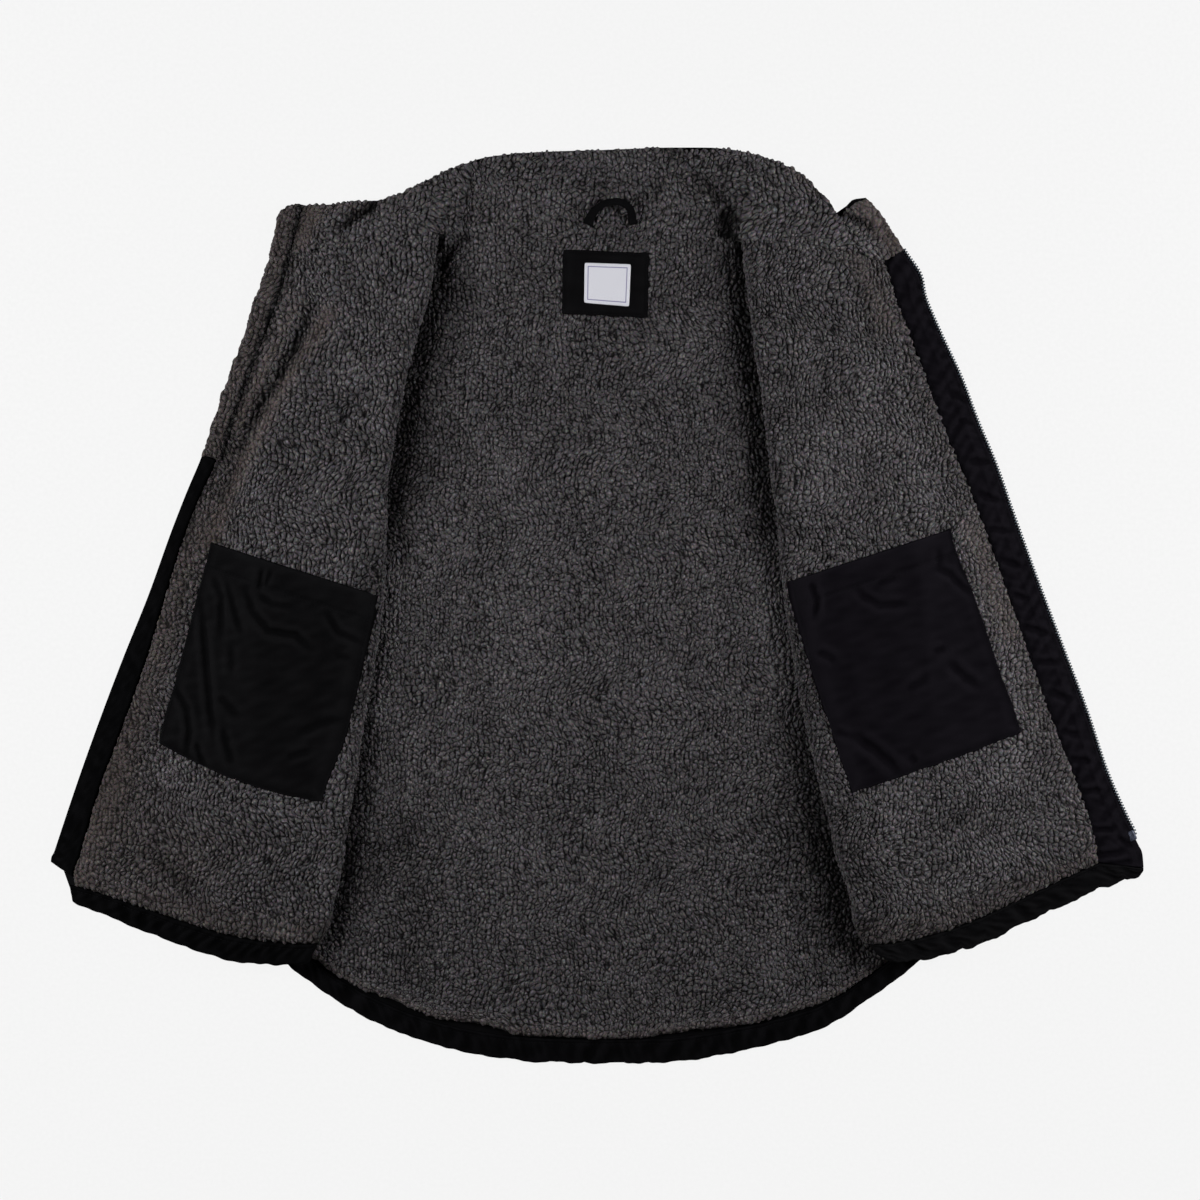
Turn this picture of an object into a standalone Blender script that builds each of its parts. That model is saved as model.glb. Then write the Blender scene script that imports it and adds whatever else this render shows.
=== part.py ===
# A pile-lined work waistcoat lying open on its back on a table, inside up.
# Both fronts are folded outwards over themselves, so that their linings show.
# Tables are in millimetres on the garment's own drawing: +X to the viewer's
# right, +Y to the collar, +Z up. Left and right in names are the wearer's.

import bpy
import bmesh
import numpy as np
from math import atan2, cos, hypot, pi, radians, sin

MM = 0.001                      # one millimetre in metres
CENTRE_X, CENTRE_Y = -0.25, -1.0  # middle of the drawing's outline

# ---- cloth -----------------------------------------------------------------
SHELL = 1.2                     # woven cotton, one layer
LINING = 5.0                    # pile lining, ground and pile together
GAP = 0.3                       # between pieces that lie on or meet each other
SHELL_TOP = SHELL
LINING_LOW = SHELL + GAP        # heights above the shell's outer face
LINING_TOP = LINING_LOW + LINING
EDGE_TOP = LINING_TOP - 1.5     # the pile is pressed down along its seams
POCKET_LOW = LINING_TOP + GAP
FOLD_BASE = 2 * LINING_TOP + GAP  # outer face of the hidden front, over the back

# ---- the neck seam, from the right front's edge to the left front's edge ----
NECK_SEAM = (
    # x, y
    (-271.0, 284.0),
    (-259.0, 286.0),
    (-126.0, 304.5),
    (-100.0, 311.0),
    (0.0, 313.0),
    (60.0, 309.5),
    (112.0, 299.0),
    (235.0, 284.5),
    (252.0, 293.0),
)

# ---- the fronts --------------------------------------------------------------
# One row for each section, from the neck down. Each section runs from the fold
# to the edge of the lining and on to the outer edge. The distances are measured
# from the fold along the section: "side" is where the hidden layer ends at the
# armhole or side seam, "inner" and "outer" are the pocket's two sides and the
# same creases above and below it. "inset" is from the outer edge back to the
# shell's own edge, "roll" the radius inside the fold, and "bow" how far the
# section curves towards the hem.
FRONT_COLUMNS = ("fold_x", "fold_y", "seam_x", "seam_y", "edge_x", "edge_y",
                 "side", "inner", "outer", "inset", "roll", "bow")
FRONT_RIGHT = (
    (-126.0, 304.5, -259.0, 286.0, -271.0, 284.0, 90, 20, 124, 6.0, 3.0, 0),    # neck seam
    (-126.0, 256.0, -269.5, 248.0, -283.0, 250.0, 86, 20, 130, 6.5, 3.0, 0),
    (-140.0, 207.0, -281.0, 210.0, -294.5, 213.0, 76, 20, 128, 6.5, 3.0, 0),
    (-156.0, 148.0, -298.5, 165.0, -311.5, 167.0, 79, 18, 130, 6.5, 3.0, 0),
    (-168.0, 88.0, -313.5, 118.5, -326.5, 123.5, 104, 15, 139, 6.5, 3.0, 0),    # flap turns to cotton
    (-172.5, 50.0, -328.0, 86.5, -340.0, 91.0, 103, 12, 142, 6.5, 3.0, 0),
    (-180.0, 11.5, -339.5, 57.5, -351.5, 60.5, 98, 10, 143.5, 6.5, 3.0, 0),     # pocket top
    (-187.0, -49.0, -356.5, 3.5, -369.5, 8.0, 93, 10.5, 152, 6.5, 3.0, 0),
    (-193.5, -109.0, -373.0, -50.5, -391.0, -45.5, 90, 18.5, 161, 9.0, 3.0, 0),
    (-200.5, -170.5, -392.0, -103.5, -410.5, -97.0, 85, 27, 170, 9.5, 3.0, 0),  # pocket bottom
    (-205.0, -215.0, -411.0, -155.0, -429.0, -149.0, 81, 27, 172, 9.5, 3.0, 3),
    (-211.0, -247.0, -426.0, -207.0, -447.0, -203.0, 74, 26, 172, 10.5, 3.0, 7),
    (-215.0, -262.0, -431.5, -225.0, -450.0, -212.0, 70, 25, 170, 12.0, 3.0, 9),  # flap ends
    (-221.0, -274.0, -430.0, -233.5, -436.0, -232.0, 65, 24, 168, 0.5, 3.0, 12),  # lining ends
    (-227.5, -290.5, -429.5, -248.5, -433.0, -246.5, 60, 24, 164, 0.5, 3.0, 16),  # hem
)
FRONT_LEFT = (
    (112.0, 299.0, 235.0, 284.5, 252.0, 293.0, 86, 20, 114, 3.0, 3.0, 0),       # neck seam
    (118.0, 255.0, 247.4, 250.0, 270.0, 254.0, 80, 20, 119, 3.5, 3.0, 0),
    (123.5, 208.0, 261.8, 215.0, 283.0, 221.0, 80, 20, 128, 3.5, 3.0, 0),
    (131.0, 160.0, 274.8, 180.0, 298.8, 187.0, 84, 18, 134, 3.5, 3.0, 0),
    (135.3, 112.0, 288.0, 144.0, 312.5, 151.0, 104, 16, 145, 3.5, 3.0, 0),
    (144.5, 64.0, 303.7, 107.0, 328.5, 115.0, 114, 13, 148, 3.5, 3.0, 0),
    (150.6, 16.0, 317.5, 70.0, 342.5, 79.0, 112, 10, 146.5, 3.5, 3.0, 0),       # pocket top
    (160.0, -43.0, 336.4, 14.0, 360.0, 21.5, 109, 13.5, 157, 3.5, 3.2, 0),
    (168.0, -103.0, 355.5, -41.5, 381.0, -33.0, 105, 23, 169, 3.5, 3.6, 0),
    (176.0, -163.5, 375.5, -97.0, 401.5, -88.0, 100, 33, 181, 3.5, 4.0, 0),     # pocket bottom
    (185.0, -210.0, 393.0, -143.0, 418.0, -136.0, 95, 33, 182, 3.5, 4.5, 3),
    (195.0, -242.0, 406.0, -180.0, 437.5, -178.0, 86, 30, 182, 3.5, 4.5, 7),
    (204.0, -258.0, 409.5, -198.0, 446.0, -201.0, 78, 28, 178, 3.5, 4.5, 9),    # zip ends
    (222.0, -278.0, 412.0, -213.5, 449.5, -217.5, 62, 26, 172, 0.5, 4.0, 12),   # lining ends
    (236.0, -294.5, 418.0, -233.0, 445.0, -223.5, 52, 24, 166, 0.5, 4.0, 10),   # hem
)
FLAP_TURN, POCKET_TOP, POCKET_BOTTOM = 4, 6, 9   # rows of both tables
FLAP_END, LINING_END, HEM = 12, 13, 14
BOW_SKEW = 0.6                  # the bow is fuller towards the fold
ROLL_CLEAR = 5.0                # from the fold line to the roll's inmost face
ROLL_EASE = 35.0                # the folded front sinks to the layer below over this
SIDE_EASE = 3.0                 # it starts down to the table this far past the side

# ---- the back -----------------------------------------------------------------
HEM_LOW = -378.0                # lowest point of the shirt-tail hem
HEM_MIDDLE = 8.0
HEM_HALF, HEM_RISE, HEM_POWER = 263.0, 81.0, 2.8
HEM_BAND = 20.0                 # the hem that the shell turns up over the lining
BACK_SIDES = (
    # how far down from the neck seam to the hem (0 to 1), left x, right x
    (0.00, -214.0, 197.0),      # shoulder tip
    (0.08, -212.0, 198.0),
    (0.17, -217.0, 204.0),
    (0.27, -236.0, 219.0),
    (0.37, -268.0, 252.0),      # armpit
    (0.52, -274.0, 262.0),
    (0.68, -279.0, 270.0),
    (0.84, -283.0, 277.0),
    (0.93, -285.0, 281.0),
    (1.00, -285.0, 282.0),
)
BACK_LINES = (-214.0, -185.0, -155.0, -126.0, -100.0, -75.0, -50.0, -25.0, 0.0,
              30.0, 60.0, 86.0, 112.0, 140.0, 168.0, 197.0)   # grid lines, at the neck

# ---- the collar -----------------------------------------------------------------
# One row for each section: where it leaves the neck seam, the top edge, and the
# height of the shell's outer face at the seam, twice between, and at the top.
COLLAR_COLUMNS = ("seam_x", "top_x", "top_y", "seam_z", "low_z", "high_z", "top_z")
COLLAR = (
    (-265.0, -258.0, 325.0, 0.0, 0.0, 0.0, 0.0),
    (-259.0, -247.5, 328.5, 0.0, 0.0, 0.0, 0.0),
    (-240.0, -227.0, 330.0, 5.0, 3.0, 1.0, 0.0),
    (-216.0, -203.0, 331.0, 13.0, 10.0, 5.0, 1.0),
    (-190.0, -176.0, 334.5, 13.6, 9.0, 4.0, 0.0),
    (-162.0, -140.0, 349.0, 14.6, 10.0, 5.0, 0.0),
    (-141.0, -120.0, 360.0, 19.0, 13.0, 6.0, 0.0),
    (-126.0, -108.0, 364.0, 11.0, 8.0, 4.0, 0.0),
    (-112.0, -97.0, 367.0, 2.0, 1.0, 0.0, 0.0),
    (-100.0, -86.0, 369.0, 0.0, 0.0, 0.0, 0.0),
    (-50.0, -45.0, 372.5, 0.0, 0.0, 0.0, 0.0),
    (0.0, 5.0, 374.0, 0.0, 0.0, 0.0, 0.0),
    (60.0, 60.0, 376.0, 0.0, 0.0, 0.0, 0.0),
    (98.0, 90.0, 376.0, 0.0, 0.0, 0.0, 0.0),
    (112.0, 102.0, 375.0, 8.0, 6.0, 3.0, 0.0),
    (128.0, 116.0, 373.0, 19.0, 14.0, 7.0, 0.0),
    (152.0, 140.0, 369.0, 14.6, 11.0, 6.0, 0.0),
    (180.0, 163.0, 357.0, 13.6, 10.0, 5.0, 0.0),
    (200.0, 179.0, 341.0, 13.0, 10.0, 5.0, 1.0),
    (219.0, 196.0, 322.0, 6.0, 6.0, 4.0, 3.0),       # the notch in its top edge
    (235.0, 210.0, 332.5, 0.0, 3.0, 6.0, 6.0),
    (248.5, 220.0, 334.0, 0.0, 1.0, 3.0, 5.0),       # front edge, its tip raised
)
COLLAR_STEPS = (0.0, 0.36, 0.7, 1.0)   # how far up the collar those heights are
COLLAR_SEAM = 0.5                      # the collar stands off the neck seam

# ---- pieces sewn on the back ------------------------------------------------------
PATCH = ((-29.0, 293.0), (42.0, 290.0), (41.0, 237.0), (-30.0, 240.0))
LABEL = ((-11.0, 283.0), (27.0, 280.0), (25.5, 246.0), (-11.5, 248.0))
PATCH_THICK, LABEL_THICK = 1.0, 0.6
LOOP_X, LOOP_Y = 9.5, 314.5     # middle of the hanger loop's foot
LOOP_HALF, LOOP_REACH = 19.5, 20.0
LOOP_WIDTH, LOOP_THICK, LOOP_LIFT = 7.5, 2.4, 8.0
LOOP_SECTIONS = 12

# ---- edges and fastening -------------------------------------------------------------
POCKET = 1.2
FACING = 1.2
HEM_THICK = 1.4
TAPE, TAPE_LOW = 0.6, SHELL + GAP
TAPE_WIDTH = 8.0                # of the tape that lies on the shell's edge
TAPE_TOP = TAPE_LOW + TAPE
CHAIN_WIDTH, CHAIN_THICK = 3.0, 2.4
CHAIN_LOW = TAPE_LOW + TAPE / 2 - CHAIN_THICK / 2
CHAIN_START_LEFT, CHAIN_START_RIGHT = 0.5, 1.3   # past the shell's edge
CHAIN_END = 0.78                # the right chain stops here, above its slider
FLAP_COTTON, FLAP_PILE = 2.0, 4.0
FLAP_TOP_ROW = (-249.0, 324.0, -261.0, 323.0)    # the flap's upper end on the collar
END_SIZE = (6.0, 8.0, 3.0)      # metal end of the left half of the zip
SLIDER_SIZE = (7.0, 11.0, 4.0)  # parked at the foot of the right half, under the flap
BOX_SIZE = (6.0, 6.5, 3.0)      # the box that it rests on
SLIDER_START = 1.6              # past the shell's edge
METAL_LOW = 0.2                 # clear of the table

COLOURS = {                     # linear colour, roughness, metallic
    "cotton": ((0.0040, 0.0040, 0.0050), 0.85, 0.0),
    "pile": ((0.050, 0.047, 0.047), 0.95, 0.0),
    "tape": ((0.0045, 0.0045, 0.0055), 0.80, 0.0),
    "metal": ((0.42, 0.42, 0.43), 0.35, 1.0),
    "label": ((0.80, 0.80, 0.82), 0.70, 0.0),
}


def smooth(value):
    value = min(1.0, max(0.0, value))
    return value * value * (3.0 - 2.0 * value)


def between(table, x):
    """The second column of a table at x, on straight lines between its rows."""
    xs = [row[0] for row in table]
    return float(np.interp(x, xs, [row[1] for row in table]))


def neck_y(x):
    return between(NECK_SEAM, x)


def hem_y(x):
    return HEM_LOW + HEM_RISE * (abs(x - HEM_MIDDLE) / HEM_HALF) ** HEM_POWER


# ---- one section of a front -----------------------------------------------------------

def mix_rows(first, second, share):
    return {key: first[key] + (second[key] - first[key]) * share for key in first}


def row_lengths(row):
    """Lengths of a section: fold to lining edge, and lining edge to outer edge."""
    return (hypot(row["seam_x"] - row["fold_x"], row["seam_y"] - row["fold_y"]),
            hypot(row["edge_x"] - row["seam_x"], row["edge_y"] - row["seam_y"]))


def row_plan(row, distance):
    """The point in plan at a distance from the fold along the section."""
    lined, free = row_lengths(row)
    if distance <= lined:
        share = distance / lined
        bow = 4 * share * (1 - share) * (1 + BOW_SKEW * (1 - 2 * share)) * row["bow"]
        bow = max(0.0, bow)             # the roll reaches a little past the fold line
        return (row["fold_x"] + (row["seam_x"] - row["fold_x"]) * share,
                row["fold_y"] + (row["seam_y"] - row["fold_y"]) * share - bow)
    share = (distance - lined) / free
    return (row["seam_x"] + (row["edge_x"] - row["seam_x"]) * share,
            row["seam_y"] + (row["edge_y"] - row["seam_y"]) * share)


def folded_height(row, distance):
    """Height of the shell's outer face on the folded layer, past the roll."""
    centre = roll_centre(row)
    height = FOLD_BASE + GAP
    height += (2 * row["roll"] - GAP) * (1 - smooth((distance - centre) / ROLL_EASE))
    start = row["side"] + SIDE_EASE
    return height * (1 - smooth((distance - start) / (row["outer"] - start)))


def roll_centre(row):
    return ROLL_CLEAR + LINING_TOP + row["roll"]


def section(row):
    """The shell's outer face along one section, as (distance, height) points.

    It runs from the side in to the fold, round the roll, and out to the edge.
    """
    radius, centre = row["roll"], roll_centre(row)
    middle = FOLD_BASE + radius
    lined, free = row_lengths(row)
    points = [(row["side"], FOLD_BASE), ((row["side"] + centre) / 2, FOLD_BASE)]
    for angle in (0, 45, 90, 130):
        turn = radians(angle)
        points.append((centre - radius * sin(turn), middle - radius * cos(turn)))
    inner = row["inner"]
    if inner < centre:                      # the pocket starts on the roll itself
        reach = (centre - inner) / (radius + LINING_TOP)
        inner_point = (centre - radius * reach, middle + radius * (1 - reach ** 2) ** 0.5)
    else:
        inner_point = (inner, folded_height(row, inner))
    crown = (points[-1][0] + inner_point[0]) / 2
    if crown < centre:
        rise = (radius ** 2 - (centre - crown) ** 2) ** 0.5
        points.append((crown, middle + rise))
    else:
        points.append((crown, folded_height(row, crown)))
    points.append(inner_point)
    start = row["side"] + SIDE_EASE
    for distance in ((inner_point[0] + start) / 2, start,
                     start + 0.33 * (row["outer"] - start),
                     start + 0.67 * (row["outer"] - start), row["outer"]):
        points.append((distance, folded_height(row, distance)))
    points += [(lined, 0.0), (lined + free - row["inset"], 0.0)]
    return points


INNER, OUTER, SEAM, EDGE = 7, 12, 13, 14   # places in a section's points


def offset_section(row, height):
    """A section moved out from the shell's outer face by a height, as 3-D points."""
    points = section(row)
    heights = height if isinstance(height, (list, tuple)) else [height] * len(points)
    moved = []
    for index, (distance, level) in enumerate(points):
        before = points[max(index - 1, 0)]
        after = points[min(index + 1, len(points) - 1)]
        sides = []
        for start, end in ((before, (distance, level)), ((distance, level), after)):
            length = hypot(end[0] - start[0], end[1] - start[1])
            if length > 0:
                sides.append((-(end[1] - start[1]) / length, (end[0] - start[0]) / length))
        normal = np.mean(sides, axis=0)
        normal = normal / np.dot(normal, normal)    # keeps the wall's thickness at bends
        x, y = row_plan(row, distance + normal[0] * heights[index])
        moved.append((x, y, level + normal[1] * heights[index]))
    return moved


def front_rows(table):
    return [dict(zip(FRONT_COLUMNS, values)) for values in table]


# ---- solids ---------------------------------------------------------------------------

def loft(name, low, high, finish):
    """A closed solid between two grids of points that match row by row."""
    rows, columns = len(low), len(low[0])
    count = rows * columns
    points = [point for row in low for point in row] + [point for row in high for point in row]
    points = [((x - CENTRE_X) * MM, (y - CENTRE_Y) * MM, z * MM) for x, y, z in points]

    def at(row, column):
        return row * columns + column

    faces = []
    for row in range(rows - 1):
        for column in range(columns - 1):
            a, b = at(row, column), at(row, column + 1)
            c, d = at(row + 1, column + 1), at(row + 1, column)
            faces += [(a, b, c), (a, c, d)]
            faces += [(count + a, count + c, count + b), (count + a, count + d, count + c)]
    rim = [at(0, column) for column in range(columns)]
    rim += [at(row, columns - 1) for row in range(1, rows)]
    rim += [at(rows - 1, column) for column in range(columns - 2, -1, -1)]
    rim += [at(row, 0) for row in range(rows - 2, 0, -1)]
    for start, end in zip(rim, rim[1:] + rim[:1]):
        faces += [(start, count + start, count + end), (start, count + end, end)]
    mesh = bpy.data.meshes.new(name)
    mesh.from_pydata(points, [], faces)
    return finish_object(name, mesh, finish)


def finish_object(name, mesh, finish):
    shape = bmesh.new()
    shape.from_mesh(mesh)
    bmesh.ops.recalc_face_normals(shape, faces=shape.faces)
    if shape.calc_volume(signed=True) < 0:
        bmesh.ops.reverse_faces(shape, faces=shape.faces)
    shape.to_mesh(mesh)
    shape.free()
    mesh.materials.append(material(finish))
    solid = bpy.data.objects.new(name, mesh)
    garment.objects.link(solid)
    return solid


def material(finish):
    found = bpy.data.materials.get(finish)
    if found:
        return found
    colour, roughness, metallic = COLOURS[finish]
    made = bpy.data.materials.new(finish)
    made.use_nodes = True
    surface = made.node_tree.nodes["Principled BSDF"]
    surface.inputs["Base Color"].default_value = (*colour, 1.0)
    surface.inputs["Roughness"].default_value = roughness
    surface.inputs["Metallic"].default_value = metallic
    return made


def block(name, middle, size, turn, finish):
    """A small metal piece: a box with rounded edges, turned in plan."""
    bpy.ops.mesh.primitive_cube_add(size=1.0)
    solid = bpy.context.object
    solid.name = solid.data.name = name
    solid.dimensions = [length * MM for length in size]
    bpy.ops.object.transform_apply(location=False, rotation=False, scale=True)
    solid.location = ((middle[0] - CENTRE_X) * MM, (middle[1] - CENTRE_Y) * MM, middle[2] * MM)
    solid.rotation_euler = (0.0, 0.0, turn)
    bevel = solid.modifiers.new("rounded", "BEVEL")
    bevel.width = 0.6 * MM
    bevel.segments = 1
    solid.data.materials.append(material(finish))
    for home in list(solid.users_collection):
        home.objects.unlink(solid)
    garment.objects.link(solid)
    return solid


# ---- the fronts' pieces ---------------------------------------------------------------

def build_front(side, table):
    rows = front_rows(table)
    hem_rows = [mix_rows(rows[LINING_END], rows[HEM], GAP / 17.0), rows[HEM]]
    loft("shell_front_" + side,
         [offset_section(row, 0.0) for row in rows],
         [offset_section(row, SHELL_TOP) for row in rows], "cotton")

    def lining_top(index):
        pressed = index in (0, LINING_END)
        tops = [EDGE_TOP if pressed else LINING_TOP] * (EDGE + 1)
        tops[0] = tops[SEAM] = EDGE_TOP
        return tops

    lined = range(LINING_END + 1)
    loft("lining_front_" + side,
         [offset_section(rows[index], LINING_LOW)[:SEAM + 1] for index in lined],
         [offset_section(rows[index], lining_top(index))[:SEAM + 1] for index in lined], "pile")
    loft("hem_band_front_" + side,
         [offset_section(row, LINING_LOW) for row in hem_rows],
         [offset_section(row, LINING_LOW + HEM_THICK) for row in hem_rows], "cotton")
    held = rows[POCKET_TOP:POCKET_BOTTOM + 1]
    loft("pocket_" + side,
         [offset_section(row, POCKET_LOW)[INNER:OUTER + 1] for row in held],
         [offset_section(row, POCKET_LOW + POCKET)[INNER:OUTER + 1] for row in held], "cotton")


def beside_edge(row, start, past):
    """The point in plan some way past the lining's, the shell's or the outer edge."""
    lined, free = row_lengths(row)
    starts = {"seam": lined, "shell": lined + free - row["inset"], "edge": lined + free}
    return row_plan(row, starts[start] + past)


def edge_strip(name, rows, stations, finish):
    """A flat strip along a front edge: each station is (start, mm past it, low, high)."""
    grids = [[[(*beside_edge(row, start, past), heights[level])
               for start, past, *heights in stations] for row in rows] for level in (0, 1)]
    return loft(name, *grids, finish)


def build_left_edge():
    rows = front_rows(FRONT_LEFT)
    lift = TAPE_TOP + GAP
    edge_strip("facing_left", rows[:LINING_END + 1],
               (("seam", GAP, LINING_LOW, LINING_LOW + FACING),
                ("shell", -TAPE_WIDTH - 4.0, LINING_LOW, LINING_LOW + FACING),
                ("shell", -TAPE_WIDTH - 1.0, lift, lift + FACING),
                ("shell", 0.0, lift, lift + FACING)), "cotton")
    edge_strip("zip_tape_left", rows[:FLAP_END],
               (("shell", -TAPE_WIDTH, TAPE_LOW, TAPE_TOP),
                ("shell", CHAIN_START_LEFT - GAP, TAPE_LOW, TAPE_TOP)), "tape")
    edge_strip("zip_chain_left", rows[:FLAP_END], chain_stations(CHAIN_START_LEFT), "metal")
    zip_block("zip_end_left", rows[FLAP_END - 1], rows[FLAP_END], 0.0, CHAIN_START_LEFT, END_SIZE)


def chain_stations(start):
    return (("shell", start, CHAIN_LOW, CHAIN_LOW + CHAIN_THICK),
            ("shell", start + CHAIN_WIDTH, CHAIN_LOW, CHAIN_LOW + CHAIN_THICK))


def zip_block(name, above, below, past, start, size):
    """A metal piece of the zip, some way along the chain's line below a row."""
    middle = start + size[0] / 2
    top, low = beside_edge(above, "shell", middle), beside_edge(below, "shell", middle)
    length = hypot(low[0] - top[0], low[1] - top[1])
    along = ((low[0] - top[0]) / length, (low[1] - top[1]) / length)
    reach = past + GAP + size[1] / 2
    place = (top[0] + along[0] * reach, top[1] + along[1] * reach, METAL_LOW + size[2] / 2)
    block(name, place, size, atan2(along[1], along[0]) + pi / 2, "metal")


def build_right_edge():
    rows = front_rows(FRONT_RIGHT)
    low = TAPE_TOP + GAP
    seam_x, seam_y, edge_x, edge_y = FLAP_TOP_ROW
    top = dict(rows[0], seam_x=seam_x, seam_y=seam_y, edge_x=edge_x, edge_y=edge_y)
    turned = mix_rows(rows[FLAP_TURN], rows[FLAP_TURN + 1], GAP / 33.0)
    chain_end = mix_rows(rows[FLAP_END - 2], rows[FLAP_END - 1], CHAIN_END)

    def flap(name, held, thick, over, finish):
        edge_strip(name, held,
                   (("seam", 1.0, low, low + thick - 0.5),
                    ("shell", 0.0, low, low + thick),
                    ("shell", 1.2, over, over + thick),
                    ("edge", -1.5, over, over + thick),
                    ("edge", 0.0, over, over + thick * 0.6)), finish)

    flap("wind_flap_upper", [top] + rows[:FLAP_TURN + 1], FLAP_PILE,
         CHAIN_LOW + CHAIN_THICK + GAP, "pile")
    flap("wind_flap_lower", [turned] + rows[FLAP_TURN + 1:FLAP_END + 1], FLAP_COTTON,
         METAL_LOW + SLIDER_SIZE[2] + GAP, "cotton")
    edge_strip("zip_tape_right", rows[:FLAP_END + 1],
               (("seam", 1.0, TAPE_LOW, TAPE_TOP),
                ("shell", CHAIN_START_RIGHT - GAP, TAPE_LOW, TAPE_TOP)), "tape")
    edge_strip("zip_chain_right", rows[:FLAP_END - 1] + [chain_end],
               chain_stations(CHAIN_START_RIGHT), "metal")
    below = rows[FLAP_END]
    zip_block("zip_slider_right", chain_end, below, 0.0, SLIDER_START, SLIDER_SIZE)
    zip_block("zip_box_right", chain_end, below, SLIDER_SIZE[1] + GAP, SLIDER_START, BOX_SIZE)


# ---- the back, the collar and what is sewn on them -------------------------------------

def back_grid(shares, height, band=0.0):
    """Points of the back at shares of its length, between the neck and the hem."""
    grid = []
    lines = [(x - BACK_LINES[0]) / (BACK_LINES[-1] - BACK_LINES[0]) for x in BACK_LINES]
    for share in shares:
        left = between([(row[0], row[1]) for row in BACK_SIDES], share)
        right = between([(row[0], row[2]) for row in BACK_SIDES], share)
        row = []
        for line in lines:
            x = left + (right - left) * line
            row.append((x, neck_y(x) + (hem_y(x) + band - neck_y(x)) * share, height))
        grid.append(row)
    return grid


def build_back():
    shares = [row[0] for row in BACK_SIDES]
    loft("shell_back", back_grid(shares, 0.0), back_grid(shares, SHELL_TOP), "cotton")
    top = back_grid(shares, LINING_TOP, HEM_BAND)
    top[-1] = back_grid([1.0], EDGE_TOP, HEM_BAND)[0]
    loft("lining_back", back_grid(shares, LINING_LOW, HEM_BAND), top, "pile")

    def band(height):
        return [back_grid([1.0], height, HEM_BAND - GAP)[0], back_grid([1.0], height)[0]]

    loft("hem_band_back", band(LINING_LOW), band(LINING_LOW + HEM_THICK), "cotton")


def collar_grid(height, first=0):
    """The collar's outer face moved up by a height measured square to the cloth."""
    rows = [dict(zip(COLLAR_COLUMNS, values)) for values in COLLAR]
    grid = []
    for step, key in zip(COLLAR_STEPS, ("seam_z", "low_z", "high_z", "top_z")):
        line = []
        for row in rows:
            y = neck_y(row["seam_x"]) + COLLAR_SEAM
            line.append((row["seam_x"] + (row["top_x"] - row["seam_x"]) * step,
                         y + (row["top_y"] - y) * step, row[key]))
        grid.append(line)
    points = np.array(grid)
    along = np.gradient(points, axis=1)
    across = np.gradient(points, axis=0)
    normal = np.cross(across, along)
    upright = np.abs(normal[..., 2]) / np.linalg.norm(normal, axis=2)
    points[..., 2] += height / np.maximum(upright, 0.5)
    return points[:, first:].tolist()


def build_collar():
    loft("shell_collar", collar_grid(0.0), collar_grid(SHELL_TOP), "cotton")
    loft("lining_collar", collar_grid(LINING_LOW, 1), collar_grid(LINING_TOP, 1), "pile")


def flat_piece(name, corners, low, thick, finish):
    top_left, top_right, low_right, low_left = corners

    def grid(height):
        return [[(*top_left, height), (*top_right, height)],
                [(*low_left, height), (*low_right, height)]]

    loft(name, grid(low), grid(low + thick), finish)


def build_loop():
    """The hanger loop: a band sewn at both feet, arched up off the collar."""
    low, high = [], []
    for index in range(LOOP_SECTIONS + 1):
        turn = pi * index / LOOP_SECTIONS
        base = LINING_TOP + GAP + LOOP_LIFT * sin(turn)
        spread = [(LOOP_X + (LOOP_HALF + side) * cos(turn), LOOP_Y + (LOOP_REACH + side) * sin(turn))
                  for side in (-LOOP_WIDTH / 2, LOOP_WIDTH / 2)]
        low.append([(x, y, base) for x, y in spread])
        high.append([(x, y, base + LOOP_THICK) for x, y in spread])
    loft("hanger_loop", low, high, "cotton")


def clear_scene():
    for solid in list(bpy.data.objects):
        bpy.data.objects.remove(solid)


clear_scene()
garment = bpy.data.collections.new("waistcoat")
bpy.context.scene.collection.children.link(garment)
build_back()
build_front("right", FRONT_RIGHT)
build_front("left", FRONT_LEFT)
build_left_edge()
build_right_edge()
build_collar()
flat_piece("label_patch", PATCH, LINING_TOP + GAP, PATCH_THICK, "cotton")
flat_piece("neck_label", LABEL, LINING_TOP + 2 * GAP + PATCH_THICK, LABEL_THICK, "label")
build_loop()
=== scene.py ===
# A pile-lined work waistcoat lying open on its back, inside up, both fronts
# folded outwards over themselves. Sizes are in millimetres on the garment's own
# drawing: +x to the viewer's right, +y to the collar. Left and right in names
# are the wearer's.
import bpy
import numpy as np
from functools import reduce
from math import atan2, cos, hypot, pi, radians, sin
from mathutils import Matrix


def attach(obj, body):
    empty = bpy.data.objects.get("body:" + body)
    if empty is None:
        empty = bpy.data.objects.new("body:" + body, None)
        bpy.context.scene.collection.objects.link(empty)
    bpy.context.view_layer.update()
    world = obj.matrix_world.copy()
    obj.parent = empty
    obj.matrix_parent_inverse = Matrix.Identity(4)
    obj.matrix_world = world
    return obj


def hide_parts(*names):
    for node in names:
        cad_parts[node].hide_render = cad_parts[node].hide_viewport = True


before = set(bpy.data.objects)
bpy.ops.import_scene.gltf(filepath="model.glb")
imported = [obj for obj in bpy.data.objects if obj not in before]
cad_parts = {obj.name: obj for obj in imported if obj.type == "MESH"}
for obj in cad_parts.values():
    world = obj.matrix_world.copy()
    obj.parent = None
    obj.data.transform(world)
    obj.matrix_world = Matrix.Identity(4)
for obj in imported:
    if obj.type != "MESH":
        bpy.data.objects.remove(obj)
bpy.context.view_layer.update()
mm = 0.001                      # one millimetre in metres
drawingMiddle = np.array((-0.25, -1.0, 0.0))


def smooth(value):
    value = np.clip(value, 0.0, 1.0)
    return value * value * (3 - 2 * value)


def least(*parts):
    return reduce(np.minimum, parts)


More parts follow.
